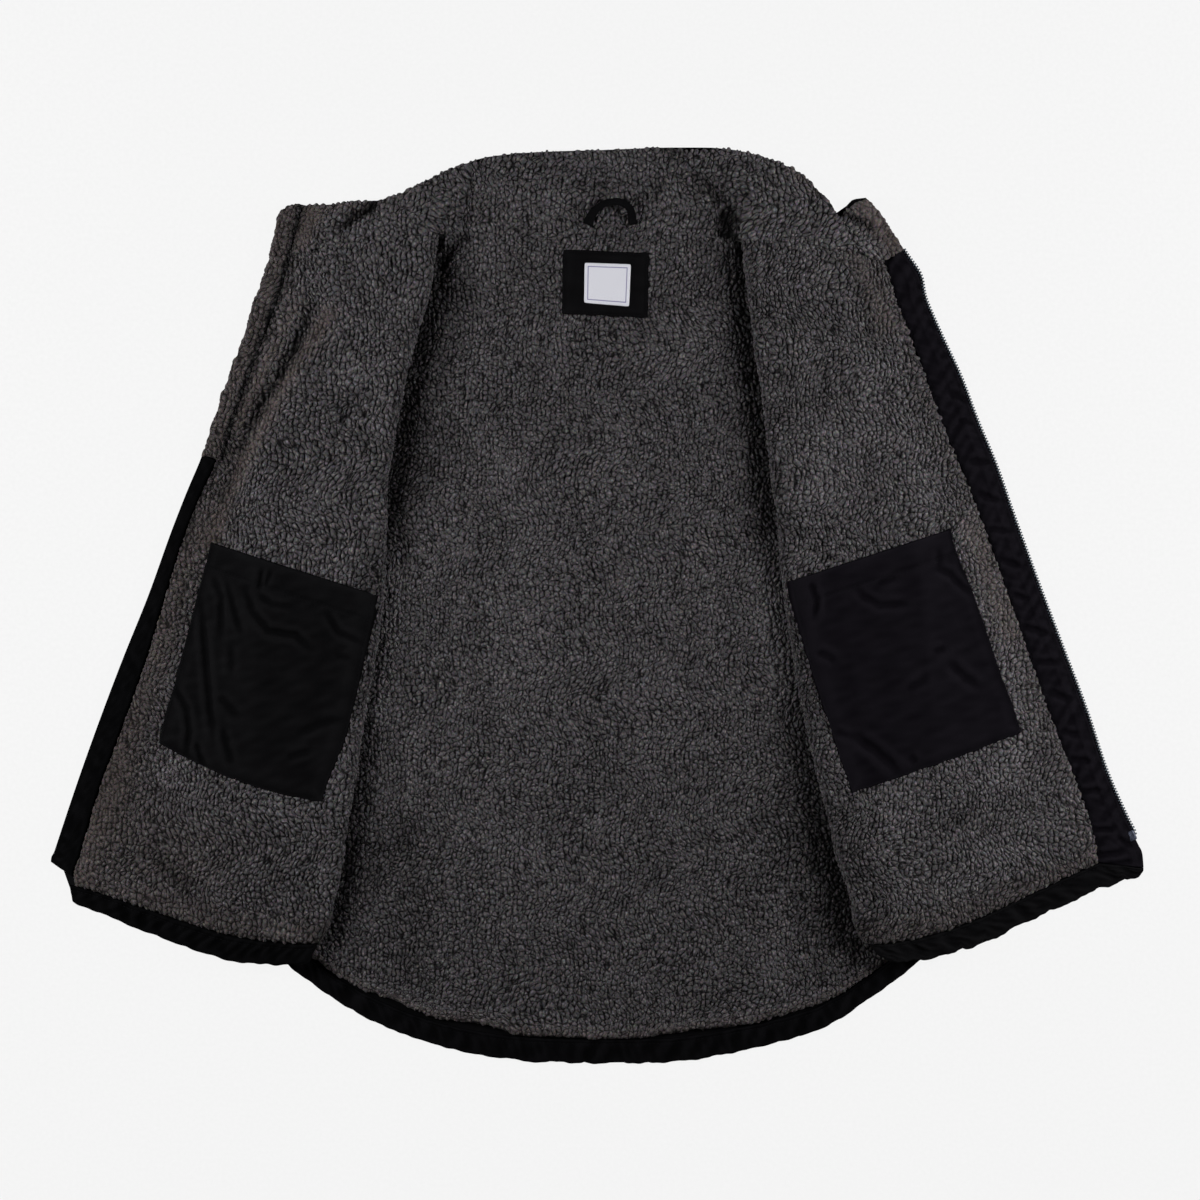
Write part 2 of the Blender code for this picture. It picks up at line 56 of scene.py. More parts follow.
def bell(away, width):
    return np.exp(-(away / width) ** 2)


# a sine wave with its rounds drawn out towards square ones
def squarer(wave, power):
    return np.sign(wave) * np.abs(wave) ** power


def spots(x, y, z=0.0):
    return np.stack(np.broadcast_arrays(x, y, z), -1)


def plan(points):
    return points[..., 0], points[..., 1]


def unit(vectors):
    return vectors / np.linalg.norm(vectors, axis=-1)[..., None]


# how far along a line of points each one is
def travelled(points):
    return np.concatenate(([0.0], np.cumsum(np.linalg.norm(np.diff(points, axis=0), axis=1))))


# the points at some lengths along a line
def lineAt(line, lengths):
    return np.stack([np.interp(lengths, travelled(line), column) for column in line.T], -1)


# a smooth curve through a table's values that never overshoots them
def easeThrough(knots, values, at):
    knots, values, at = (np.asarray(part, float) for part in (knots, values, at))
    gaps = np.diff(knots)
    slopes = np.diff(values) / gaps
    tilt = np.zeros(len(knots))
    tilt[0], tilt[-1] = slopes[0], slopes[-1]
    before, after = slopes[:-1], slopes[1:]
    same = before * after > 0
    nearer, farther = gaps[:-1] + 2 * gaps[1:], 2 * gaps[:-1] + gaps[1:]
    safe = (np.where(same, before, 1.0), np.where(same, after, 1.0))
    mean = (nearer + farther) / (nearer / safe[0] + farther / safe[1])
    tilt[1:-1] = np.where(same, mean, 0.0)
    place = np.clip(np.searchsorted(knots, at, side="right") - 1, 0, len(gaps) - 1)
    gap, share = gaps[place], (at - knots[place]) / gaps[place]
    low, high = values[place], values[place + 1]
    rise = share * share * (3 - 2 * share)
    leave, arrive = share * (1 - share) ** 2, share * share * (share - 1)
    return low + (high - low) * rise + gap * (leave * tilt[place] + arrive * tilt[place + 1])


# a table of places and values, read at other places
def readTable(at, table, column=1):
    table = np.array(table)
    return np.interp(at, table[:, 0], table[:, column])


# soft unevenness, mostly between -1 and 1: crossing waves of about this length
def waves(x, y, length, seed, count=8):
    chance = np.random.default_rng(seed)
    total = np.zeros(np.broadcast(x, y).shape)
    for index in range(count):
        turn, phase = chance.uniform(0, 2 * pi, 2)
        size = length * chance.uniform(0.7, 1.6)
        total += np.sin((x * cos(turn) + y * sin(turn)) * 2 * pi / size + phase)
    return total / count ** 0.5 / 1.4


# distance from a path to each point, and how far along the path its nearest place is
def pathDistance(x, y, path):
    path = np.array(path, float).reshape(-1, 2)
    starts = travelled(path)
    nearest, along = np.full(np.shape(x), 1e9), np.zeros(np.shape(x))
    for (startX, startY), (endX, endY), start, stop in zip(path, path[1:], starts, starts[1:]):
        runX, runY = endX - startX, endY - startY
        share = np.clip(((x - startX) * runX + (y - startY) * runY) / (stop - start) ** 2, 0.0, 1.0)
        away = np.hypot(x - startX - share * runX, y - startY - share * runY)
        along = np.where(away < nearest, start + share * (stop - start), along)
        nearest = np.minimum(away, nearest)
    return nearest, along, starts[-1]


# how deep a set of creases is at each point; a crease is (width, depth, x, y, x, y, ...)
def creaseDepth(x, y, creases):
    total = np.zeros(np.shape(x))
    for width, depth, *path in creases:
        away, along, length = pathDistance(x, y, path)
        fade = smooth(np.minimum(along, length - along) / (0.35 * length) + 0.25)
        total += depth * fade * (bell(away, width) - 0.3 * bell(away / width - 2.0, 1.0))
    return total


# soft strokes of some amount, each as (width, amount, x, y, x, y, ...)
def strokes(x, y, table):
    total = np.zeros(np.broadcast(x, y).shape)
    for width, amount, *path in table:
        total += amount * bell(pathDistance(x, y, path)[0], width)
    return total


# the cloth's layers, in mm above the shell's outer face
cloth = {
    "shell": 1.2, "liningLow": 1.5, "liningEdge": 2.1, "liningTop": 6.5, "foldBase": 13.3,
    "gap": 0.3, "rollClear": 5.0, "rollEase": 35.0, "sideEase": 3.0, "bowSkew": 0.6, "swell": 5.0,
    "bulge": 1.2, "thin": 0.3, "seamDark": 4.6,
}
foldBase, liningTop, liningLow = cloth["foldBase"], cloth["liningTop"], cloth["liningLow"]
liningEdge, gap = cloth["liningEdge"], cloth["gap"]

zipLine = {
    "tapeLow": 1.5, "tape": 0.6, "tapeWide": 8.0, "chainThick": 2.4, "pitch": 2.5, "bevel": 0.72,
    "leftStart": 0.5, "leftFoot": 11.0, "rightStart": 1.3, "rightEnd": 0.78, "metalLow": 0.2,
    "pinAt": 13.4, "pastEdge": 2.2,
}
tapeTop = zipLine["tapeLow"] + zipLine["tape"]

neckSeam = np.array((
    # x, y
    (-271.0, 284.0), (-259.0, 286.0), (-126.0, 304.5), (-100.0, 311.0), (0.0, 313.0),
    (60.0, 309.5), (112.0, 299.0), (235.0, 284.5), (252.0, 293.0),
))

# one row for each section of a front, from the neck down to the hem
frontColumns = ("foldX", "foldY", "seamX", "seamY", "edgeX", "edgeY",
                "side", "inner", "outer", "inset", "roll", "bow")
frontTables = {
    "right": (
        (-126, 304.5, -259, 286, -271, 284, 90, 20, 124, 6, 3, 0),
        (-132.5, 256, -269.5, 248, -283, 250, 79, 20, 124, 6.5, 3, 0),
        (-147, 207, -281, 210, -294.5, 213, 69, 20, 121, 6.5, 3, 0),
        (-159, 148, -298.5, 165, -311.5, 167, 76, 18, 127, 6.5, 3, 0),
        (-168, 88, -313.5, 118.5, -325.2, 123.5, 104, 15, 139, 6.5, 3, 0),
        (-168.6, 48, -328, 86.5, -338.7, 91, 107, 12, 146, 6.5, 3, 0),
        (-171.2, 4.4, -339.5, 57.5, -350.6, 60.5, 108, 8.2, 154, 6.5, 3, 0),
        (-178.4, -51.7, -356.5, 3.5, -369.5, 8, 102, 12.8, 161, 6.5, 3, 0),
        (-189, -110.4, -373, -50.5, -391, -45.5, 94.7, 16, 165.7, 9, 3, 0),
        (-198.5, -171.2, -392, -103.5, -410.5, -97, 87.1, 26.6, 172.1, 9.5, 3, 0),
        (-205, -215, -411, -155, -429, -149, 81, 27, 172, 9.5, 3, 3),
        (-211, -247, -426, -207, -447, -203, 74, 26, 172, 10.5, 3, 7),
        (-215, -262, -431.5, -225, -450, -212, 70, 25, 170, 12, 3, 9),
        (-221, -275.8, -430, -231.9, -436, -230.4, 65, 24, 168, 0.5, 3, 11),
        (-227.5, -290.5, -429.5, -248.5, -433, -246.5, 60, 24, 164, 0.5, 3, 16),
    ),
    "left": (
        (112, 299, 235, 284.5, 252, 293, 86, 20, 114, 3, 3, 0),
        (118, 255, 245.8, 250, 270, 254, 80, 20, 119, 3.5, 3, 0),
        (123.5, 208, 259.2, 215, 284.8, 221, 80, 20, 128, 3.5, 3, 0),
        (131, 160, 272, 180, 300.6, 187, 84, 18, 134, 3.5, 3, 0),
        (135.3, 112, 285, 144, 314.3, 151, 104, 16, 145, 3.5, 3, 0),
        (142.5, 64, 301, 107, 329.4, 115, 116, 13, 150, 3.5, 3, 0),
        (145.8, 15.3, 315.2, 70, 342, 79, 116.3, 8.6, 151.3, 3.5, 3, 0),
        (155.5, -44, 335.4, 14, 362.8, 21.5, 113.2, 14.2, 161.7, 3.5, 3.2, 0),
        (166.5, -103.5, 354.5, -41.5, 383.4, -33, 106.6, 21, 170.6, 3.5, 3.6, 0),
        (180, -163.5, 374, -97, 404.2, -88, 96, 27, 177.2, 3.5, 4, 0),
        (191, -210, 392.2, -143, 420.2, -136, 89, 33, 177, 3.5, 4.5, 3),
        (202, -242, 405, -180, 438, -178, 81, 30, 178, 3, 4.5, 7),
        (204, -258, 409.5, -198, 448.5, -201, 77, 28, 177, 0.8, 4.5, 9),
        (212, -276.5, 412, -213, 449.5, -217.2, 62, 26, 172, 0.5, 4, 12.8),
        (228, -293, 418, -233, 445, -223.5, 52, 24, 166, 0.5, 4, 11.6),
    ),
}
flapTurn, pocketTop, pocketBottom, flapEnd, liningEnd, hemRow = 4, 6, 9, 12, 13, 14
# how close the places are at a cloth's edges: the first few in from each end
edgeSteps, bandSteps, stripSteps = (0.4, 1.0, 1.9, 3.1), (0.3, 0.7, 1.2, 1.8), (0.25, 0.6, 1.1, 1.7)


# places from start to stop, about a step apart and closer at both ends
def spaced(start, stop, step, every, ends=edgeSteps):
    inner = max(2, int(round((stop - start - 2 * ends[-1]) / step)))
    inner += -(inner + 2 * len(ends)) % every
    middle = np.linspace(start + ends[-1], stop - ends[-1], inner + 1)
    first = start + np.array((0.0,) + ends[:-1])
    return np.concatenate((first, middle, start + stop - first[::-1]))


# the same for shares of a length, 0 to 1
def sharesOf(length, step, every, ends=edgeSteps):
    return spaced(0.0, length, step, every, ends) / length


def frontKnots(side):
    return travelled(np.array(frontTables[side])[:, 2:4])


def rowPlace(side, row):
    return float(np.interp(row, range(hemRow + 1), frontKnots(side)))


# a front's measurements at places down its seam, each as a column of values
def rowAt(knots, table, places):
    row = {name: easeThrough(knots, column, places)[:, None]
           for name, column in zip(frontColumns, np.transpose(table))}
    row["down"] = np.asarray(places, float)[:, None]
    return row


# adds the lengths from the fold to the lining's seam, to the edge and to the shell's edge
def withLengths(row):
    row["lined"] = np.hypot(row["seamX"] - row["foldX"], row["seamY"] - row["foldY"])
    row["free"] = np.hypot(row["edgeX"] - row["seamX"], row["edgeY"] - row["seamY"])
    row["edge"] = row["lined"] + row["free"]
    row["shellEdge"] = row["edge"] - row["inset"]
    return row


def frontAt(side, places):
    row = rowAt(frontKnots(side), frontTables[side], places)
    if side == "left":                  # drawn in at the zip's foot, swollen under the collar
        pin = rowPlace("left", flapEnd - 1) + zipLine["pinAt"]
        row["inset"] = row["inset"] + 4.0 * bell(row["down"] - pin, 5.0)
        row["edgeX"] = row["edgeX"] + cloth["swell"] * bell(row["down"] - 19, 13)
    return withLengths(row)


def rowPlan(row, distance):
    share = distance / row["lined"]
    past = (distance - row["lined"]) / row["free"]
    bow = 4 * share * (1 - share) * (1 + cloth["bowSkew"] * (1 - 2 * share)) * row["bow"]
    x = row["foldX"] + (row["seamX"] - row["foldX"]) * share
    y = row["foldY"] + (row["seamY"] - row["foldY"]) * share - np.maximum(bow, 0)
    edgeX = row["seamX"] + (row["edgeX"] - row["seamX"]) * past
    edgeY = row["seamY"] + (row["edgeY"] - row["seamY"]) * past
    return np.where(past <= 0, x, edgeX), np.where(past <= 0, y, edgeY)


# the shell's outer face along each section: from the hidden side in to the fold,
# round the roll and out to the edge, with its normals and lengths
def sectionOf(row):
    roll = row["roll"]
    centre = cloth["rollClear"] + liningTop + roll
    hidden = row["side"] + (centre - row["side"]) * np.linspace(0, 1, 24)[None, :-1]
    turn = np.linspace(0, pi, 40)[None, :-1]
    upper = centre + (row["edge"] - centre) * np.linspace(0, 1, 260)[None, :]
    folded = foldBase + gap + (2 * roll - gap) * (1 - smooth((upper - centre) / cloth["rollEase"]))
    start = row["side"] + cloth["sideEase"]
    folded = folded * (1 - smooth((upper - start) / (row["outer"] - start)))
    distance = np.concatenate((hidden, centre - roll * np.sin(turn), upper), axis=1)
    rolled = foldBase + roll - roll * np.cos(turn)
    height = np.concatenate((hidden * 0 + foldBase, rolled, folded), axis=1)
    acrossStep, upStep = np.gradient(distance, axis=1), np.gradient(height, axis=1)
    size = np.hypot(acrossStep, upStep)
    section = {"distance": distance, "height": height, "sideways": -upStep / size,
               "upright": acrossStep / size, "row": row}
    top = distance + section["sideways"] * liningTop, height + section["upright"] * liningTop
    for name, (x, z) in (("length", (distance, height)), ("topLength", top)):
        steps = np.hypot(np.diff(x, axis=1), np.diff(z, axis=1))
        section[name] = np.pad(np.cumsum(steps, axis=1), ((0, 0), (1, 0)))
    rollFrom, section["upperFrom"] = hidden.shape[1], hidden.shape[1] + turn.shape[1]
    section["rollStart"] = section["length"][:, [rollFrom]]
    section["rollEnd"] = section["length"][:, [section["upperFrom"]]]
    return section


# one interpolation for each section
def readRows(at, known, values):
    return np.array([np.interp(*parts) for parts in zip(at, known, values)])


# where a distance from the fold is, as a length along the section
def lengthAt(section, distance):
    row, first = section["row"], section["upperFrom"]
    flat = readRows(distance, section["distance"][:, first:], section["length"][:, first:])
    centre = cloth["rollClear"] + liningTop + row["roll"]
    reach = np.clip((centre - distance) / (row["roll"] + liningTop), 0, 1)
    return np.where(reach > 0, section["rollStart"] + row["roll"] * (pi - np.arcsin(reach)), flat)


# points of the drawing at lengths along the section and heights off the outer face
def onSection(section, at, lift):
    distance, height, sideways, upright = (
        readRows(at, section["length"], section[name])
        for name in ("distance", "height", "sideways", "upright"))
    return spots(*rowPlan(section["row"], distance + sideways * lift), height + upright * lift)


# lengths over the pile's surface at lengths along the section
def onTop(section, at):
    return readRows(at, section["length"], section["topLength"])


garment = bpy.data.collections.new("waistcoat")
bpy.context.scene.collection.children.link(garment)


def polygonMesh(name, points, groups, facts=None):
    mesh = bpy.data.meshes.new(name)
    points = (np.asarray(points, float) - drawingMiddle) * mm
    corners = np.concatenate([group.ravel() for group in groups])
    totals = np.concatenate([np.full(len(group), group.shape[1]) for group in groups])
    starts = np.cumsum(totals) - totals
    mesh.vertices.add(len(points))
    mesh.vertices.foreach_set("co", points.ravel())
    mesh.loops.add(len(corners))
    mesh.loops.foreach_set("vertex_index", corners.astype(np.int32))
    mesh.polygons.add(len(totals))
    mesh.polygons.foreach_set("loop_start", starts.astype(np.int32))
    mesh.polygons.foreach_set("use_smooth", np.ones(len(totals), bool))
    for key, values in (facts or {}).items():
        kind, field = ("FLOAT_VECTOR", "vector") if values.ndim == 2 else ("FLOAT", "value")
        mesh.attributes.new(key, kind, "POINT").data.foreach_set(field, values.ravel())
    mesh.update(calc_edges=True)
    mesh.validate()
    piece = bpy.data.objects.new(name, mesh)
    garment.objects.link(piece)
    return piece


# how far each place stands out of its surroundings: 1 on a sharp ridge, -1 in a crease
def ridges(points):
    height = points[..., 2]
    level = height
    for turn in range(14):
        wide = np.pad(level, 1, mode="edge")
        wide = (wide[:-2] + 2 * wide[1:-1] + wide[2:]) / 4
        level = (wide[:, :-2] + 2 * wide[:, 1:-1] + wide[:, 2:]) / 4
    return np.clip((height - level) / 0.45, -1, 1)


def gridFaces(grid):
    return np.stack((grid[:-1, :-1], grid[:-1, 1:], grid[1:, 1:], grid[1:, :-1]), -1).reshape(-1, 4)


# a closed sheet: a fine outer face, and an inner face with every so many of its rows
def closedSheet(name, outer, inner, every, facts):
    fine = np.arange(outer[..., 0].size).reshape(outer.shape[:2])
    picked = outer[::every, ::every]
    inner = inner[::every, ::every] if inner.shape == outer.shape else inner
    coarse = fine.size + np.arange(inner[..., 0].size).reshape(inner.shape[:2])
    rim = []
    for fineLine, coarseLine in ((fine[0], coarse[0]), (fine[:, -1], coarse[:, -1]),
                                 (fine[-1, ::-1], coarse[-1, ::-1]), (fine[::-1, 0], coarse[::-1, 0])):
        runs = np.array([fineLine[start:start + every + 1]
                         for start in range(0, len(fineLine) - 1, every)])
        rim.append(np.column_stack((runs[:, ::-1], coarseLine[:-1], coarseLine[1:])))
    faces = [gridFaces(fine), gridFaces(coarse.T), np.concatenate(rim)]
    normal = np.cross(np.gradient(outer, axis=1), np.gradient(outer, axis=0))[::every, ::every]
    if np.sum(normal * (picked - inner)) < 0:
        faces = [group[:, ::-1] for group in faces]
    # ridges and creases of the cotton, for its painted highlight and painted shade
    if "clothPlace" in facts:
        facts = {**facts, "clothPaintedShading": ridges(outer)}
    carried = {}
    for key, values in facts.items():
        shape = (-1,) + values.shape[2:]
        carried[key] = np.concatenate((values.reshape(shape), values[::every, ::every].reshape(shape)))
    points = np.concatenate((outer.reshape(-1, 3), inner.reshape(-1, 3)))
    return polygonMesh(name, points, faces, carried)


# rings of points joined into closed tubes, as many as there are points for
def tubes(name, points, rings, count, facts=None):
    ring = np.arange(rings * count).reshape(rings, count)
    following = np.roll(ring, -1, axis=1)
    sides = np.stack((ring[:-1], following[:-1], following[1:], ring[1:]), -1).reshape(-1, 4)
    caps = np.array((ring[0, ::-1], ring[-1]))
    points = np.reshape(points, (-1, 3))
    starts = np.arange(0, len(points), ring.size)[:, None, None]
    groups = (starts + sides).reshape(-1, 4), (starts + caps).reshape(-1, count)
    return polygonMesh(name, points, groups, facts)


def dress(piece, finish, *nodes):
    piece.data.materials.append(finish)
    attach(piece, "root")
    if nodes:
        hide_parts(*nodes)


# lays one cloth, by its two faces, in place of its solid
def laySheet(name, faces, every, facts, finish, node, **sheet):
    piece = closedSheet(name, *faces, every, facts)
    if finish == pileCloth:
        raisePile(piece)
    dress(piece, finish, node)


stitch = {"long": 2.5, "pitch": 3.4, "thick": 0.38, "sunk": 0.16, "look": 0.6}


# rows of stitches along lines of points on a cloth, as one mesh of small beads
def stitches(name, lines, pitch=stitch["pitch"]):
    bead = np.array([(a, b * side, c) for a, side in ((-0.5, 0.55), (0.0, 1.0), (0.5, 0.55))
                     for b, c in ((1, 0), (0, 1), (-1, 0), (0, -1))])
    middles, aheads = [], []
    for line in lines:
        marks = np.arange(pitch / 2, travelled(line)[-1] - pitch / 2, pitch)
        middles.append(lineAt(line, marks))
        aheads.append(lineAt(line, marks + stitch["look"]))
    middles = np.concatenate(middles)
    along = unit(np.concatenate(aheads) - middles)
    across = unit(np.cross((0.0, 0.0, 1.0), along))
    up = np.cross(along, across)
    thick = stitch["thick"] / 2
    points = (middles + up * (thick - stitch["sunk"]))[:, None]
    for direction, size, axis in ((along, stitch["long"], 0), (across, thick, 1), (up, thick, 2)):
        points = points + direction[:, None] * bead[None, :, axis:axis + 1] * size
    piece = tubes(name, points, 3, 4)
    dress(piece, threadFinish)


# sets a node's inputs, by name or number, to values or to other nodes' outputs
def fill(tree, node, inputs):
    for key, value in dict(inputs).items():
        if isinstance(value, bpy.types.NodeSocket):
            tree.links.new(value, node.inputs[key])
        else:
            node.inputs[key].default_value = value


def put(tree, kind, inputs=(), **settings):
    node = tree.nodes.new(kind)
    for key, value in settings.items():
        setattr(node, key, value)
    fill(tree, node, inputs)
    return node


def sums(tree, operation, first, second=0.0, third=0.0):
    return put(tree, "ShaderNodeMath", {0: first, 1: second, 2: third}, operation=operation).outputs[0]


# first times second, plus third
def addTimes(tree, first, second, third):
    return sums(tree, "MULTIPLY_ADD", first, second, third)


def vectors(tree, operation, inputs):
    return put(tree, "ShaderNodeVectorMath", inputs, operation=operation).outputs[0]


def noise(tree, place, scale, detail, roughness=0.5):
    inputs = {"Vector": place, "Scale": scale, "Detail": detail, "Roughness": roughness}
    return put(tree, "ShaderNodeTexNoise", inputs).outputs


def ramp(tree, factor, *stops):
    node = put(tree, "ShaderNodeValToRGB", {0: factor})
    band = node.color_ramp.elements
    while len(band) < len(stops):
        band.new(1.0)
    for element, (place, colour) in zip(band, stops):
        element.position = place
        element.color = (*colour, 1.0)
    return node.outputs["Color"]


def bumped(tree, rise, strength, deep):
    inputs = {"Height": rise, "Strength": strength, "Distance": deep * mm}
    return put(tree, "ShaderNodeBump", inputs).outputs[0]


def newFinish(name):
    finish = bpy.data.materials.new(name)
    finish.use_nodes = True
    tree = finish.node_tree
    return finish, tree, tree.nodes["Principled BSDF"]


def attribute(tree, name, output="Vector"):
    return put(tree, "ShaderNodeAttribute", attribute_name=name).outputs[output]


# what the pile looks like; lengths in mm
pile = {
    "tuftWide": 3.5, "tuftLong": 4.4, "wander": 0.5, "lift": 2.2, "tint": 1.3,
    # deep and shade are painted shade in the crevices between tufts, tip is a painted highlight on the
    # curls
    "deep": (0.0022, 0.0021, 0.0023), "shade": (0.017, 0.0162, 0.0168),
    "body": (0.076, 0.0720, 0.0760), "tip": (0.200, 0.190, 0.200),
    "paintedShading": 0.42, "warmth": (0.09, -0.02, -0.10), "fray": 0.9,
}


# how high the tufts stand, how open the cloth is between them, and where they wander to
def tufts(tree, place):
    shift = vectors(tree, "SUBTRACT", {0: noise(tree, place, 0.5, 0.0)["Color"], 1: (0.5, 0.5, 0.5)})
    shift = vectors(tree, "SCALE", {0: shift, "Scale": pile["wander"]})
    moved = vectors(tree, "ADD", {0: place, 1: shift})
    edges = put(tree, "ShaderNodeTexVoronoi", {"Vector": moved, "Scale": 1.0, "Randomness": 1.0},
                feature="DISTANCE_TO_EDGE").outputs["Distance"]
    broken = noise(tree, place, 0.65, 3.0, 0.6)["Fac"]
    between = addTimes(tree, broken, 0.25, sums(tree, "SUBTRACT", edges, 0.145))
    across = put(tree, "ShaderNodeSeparateXYZ", {0: moved}).outputs[0]
    row = sums(tree, "COSINE", sums(tree, "MULTIPLY", across, 2 * pi))
    between = addTimes(tree, row, -0.04, between)
    inside = put(tree, "ShaderNodeMapRange", {0: between, 1: -0.04, 2: 0.12, 3: 0.0, 4: 1.0},
                 interpolation_type="SMOOTHSTEP").outputs[0]
    fall = put(tree, "ShaderNodeMapRange", {0: between, 1: -0.04, 2: 0.36, 3: 1.0, 4: 0.0}).outputs[0]
    return sums(tree, "SUBTRACT", 1.0, sums(tree, "MULTIPLY", fall, fall)), inside, moved


def pileFinish():
    finish, tree, surface = newFinish("curly pile")
    place = attribute(tree, "pilePlace")
    paintedShading, worn = attribute(tree, "pilePaintedShading", "Fac"), attribute(tree, "pileWorn", "Fac")
    height, inside, moved = tufts(tree, place)
    curls = put(tree, "ShaderNodeTexVoronoi", {"Vector": moved, "Scale": 1.8, "Randomness": 1.0}).outputs
    chance = put(tree, "ShaderNodeSeparateXYZ", {0: curls["Color"]}).outputs[0]
    curl = sums(tree, "SUBTRACT", 0.62, curls["Distance"])
    fibres, patches = noise(tree, moved, 4.0, 2.0, 0.7), noise(tree, place, 0.13, 2.0)["Fac"]
    # darker between the tufts and lighter at the curls' middles: painted shade between tufts, painted
    # highlights on them
    tone = addTimes(tree, inside, 0.265, sums(tree, "MULTIPLY", height, 0.140))
    tone = addTimes(tree, curl, addTimes(tree, chance, 0.8, 0.05), tone)
    tone = addTimes(tree, fibres["Fac"], 0.5, sums(tree, "SUBTRACT", tone, 0.18))
    tone = addTimes(tree, patches, 0.24, tone)
    # painted shade darkens the pile here, and painted light lightens it where the value is below 0
    tone = addTimes(tree, paintedShading, -pile["paintedShading"], tone)
    even = sums(tree, "MULTIPLY", worn, 0.45)                 # worn pile is evener and warmer
    tone = addTimes(tree, even, sums(tree, "SUBTRACT", 0.53, tone), tone)
    colour = ramp(tree, tone, (0.05, pile["deep"]), (0.30, pile["shade"]), (0.60, pile["body"]),
                  (1.0, pile["tip"]))
    tint = vectors(tree, "MULTIPLY_ADD", {0: fibres["Color"], 1: (pile["tint"],) * 3,
                                          2: (1 - pile["tint"] / 2,) * 3})
    warmth = vectors(tree, "SCALE", {0: pile["warmth"], "Scale": worn})
    tint = vectors(tree, "ADD", {0: tint, 1: warmth})
    rise = addTimes(tree, fibres["Fac"], 0.25, addTimes(tree, curl, 0.7, height))
    fill(tree, surface, {
        "Base Color": vectors(tree, "MULTIPLY", {0: colour, 1: tint}), "Roughness": 1.0,
        "Specular IOR Level": 0.02, "Sheen Weight": 0.04, "Sheen Roughness": 0.5,
        "Normal": bumped(tree, rise, addTimes(tree, worn, -0.4, 0.9), 1.6),
    })
    return finish


# black cotton twill; the place attribute runs along the cloth in mm
cotton = {
    # its hollows, its face, its ridges: painted shade in the creases, painted highlight on the ridges
    "black": ((0.0016, 0.0016, 0.0018), (0.0040, 0.0039, 0.0043), (0.0092, 0.0090, 0.0098)),
    # a lighter, bluer copy of the same black cotton for the wearer's left pocket and facing: painted
    # light
    "litSideBlack": ((0.0024, 0.0020, 0.0029), (0.0057, 0.0050, 0.0067), (0.0118, 0.0104, 0.0136)),
    "hemBlack": ((0.0011, 0.0011, 0.0012), (0.0028, 0.0027, 0.0031), (0.0072, 0.0070, 0.0080)),
    "deepBlack": ((0.0007, 0.0007, 0.0008), (0.0019, 0.0019, 0.0021), (0.0058, 0.0057, 0.0064)),
    "tape": ((0.0014, 0.0014, 0.0016), (0.0030, 0.0030, 0.0036), (0.0070, 0.0070, 0.0080)),
}


def cottonFinish(name, tones, thread=0.45):
    finish, tree, surface = newFinish(name)
    place, wear = attribute(tree, "clothPlace"), attribute(tree, "clothPaintedShading", "Fac")
    turned = put(tree, "ShaderNodeMapping", {"Vector": place, "Rotation": (0, 0, radians(32))})
    twill = put(tree, "ShaderNodeTexWave", {"Vector": turned.outputs[0], "Scale": 0.314 / thread,
                                            "Distortion": 0.6, "Detail": 1.0, "Detail Scale": 2.0},
                wave_type="BANDS", bands_direction="X", wave_profile="SIN").outputs["Fac"]
    slubs, fade = noise(tree, place, 0.9, 4.0, 0.7)["Fac"], noise(tree, place, 0.05, 2.0)["Fac"]
    tone = addTimes(tree, slubs, 0.4, sums(tree, "MULTIPLY", fade, 0.3))
    # lighter on ridges and darker in creases: painted highlight and painted shade
    tone = addTimes(tree, wear, 0.16, sums(tree, "ADD", tone, 0.12))
    fill(tree, surface, {
        "Base Color": ramp(tree, tone, (0.15, tones[0]), (0.45, tones[1]), (0.95, tones[2])),
        "Roughness": 0.95, "Specular IOR Level": 0.01,
        "Normal": bumped(tree, addTimes(tree, twill, 0.5, slubs), 0.5, 0.15),
    })
    return finish


def metalFinish(name, dull, bright, metallic):
    finish, tree, surface = newFinish(name)
    wear = noise(tree, put(tree, "ShaderNodeTexCoord").outputs["Object"], 900.0, 3.0)["Fac"]
    rough = put(tree, "ShaderNodeMapRange", {0: wear, 3: 0.35, 4: 0.6}).outputs[0]
    fill(tree, surface, {
        "Base Color": ramp(tree, wear, (0.35, dull), (0.65, bright)), "Roughness": rough,
        "Metallic": metallic, "Normal": bumped(tree, wear, 0.2, 0.1),
    })
    return finish


def labelFinish():
    finish, tree, surface = newFinish("woven label")
    place = attribute(tree, "clothPlace")
    weave = put(tree, "ShaderNodeTexWave", {"Vector": place, "Scale": 0.9}, bands_direction="Y")
    ground = ramp(tree, noise(tree, place, 1.4, 3.0)["Fac"], (0.3, (0.66, 0.66, 0.72)),
                  (0.7, (0.80, 0.80, 0.86)))
    line = {0: attribute(tree, "frameLine", "Fac"), 6: ground, 7: (0.13, 0.12, 0.30, 1.0)}
    fill(tree, surface, {
        "Base Color": put(tree, "ShaderNodeMix", line, data_type="RGBA").outputs[2],
        "Roughness": 0.55, "Specular IOR Level": 0.25,
        "Normal": bumped(tree, weave.outputs["Fac"], 0.3, 0.1),
    })
    return finish


def threadOf(name, colour):
    finish, tree, surface = newFinish(name)
    fill(tree, surface, {"Base Color": (*colour, 1.0), "Roughness": 0.9, "Specular IOR Level": 0.03})
    return finish


threadFinish = threadOf("black thread", (0.0065, 0.0065, 0.0075))
pileCloth = pileFinish()
blackCotton = cottonFinish("black cotton", cotton["black"])
hemBlackCotton = cottonFinish("hem black cotton", cotton["hemBlack"])
deepBlackCotton = cottonFinish("deep black cotton", cotton["deepBlack"])
# the black cotton's painted lit copy
litSideCotton = cottonFinish("black cotton, painted lit side", cotton["litSideBlack"])
tapeCloth = cottonFinish("zip tape weave", cotton["tape"], 0.9)
toothMetal = metalFinish("zip tooth metal", (0.008, 0.008, 0.009), (0.07, 0.095, 0.12), 0.3)
zipMetal = metalFinish("zip metal", (0.028, 0.033, 0.052), (0.07, 0.08, 0.115), 0.5)
labelCloth = labelFinish()
print("finishes ready")


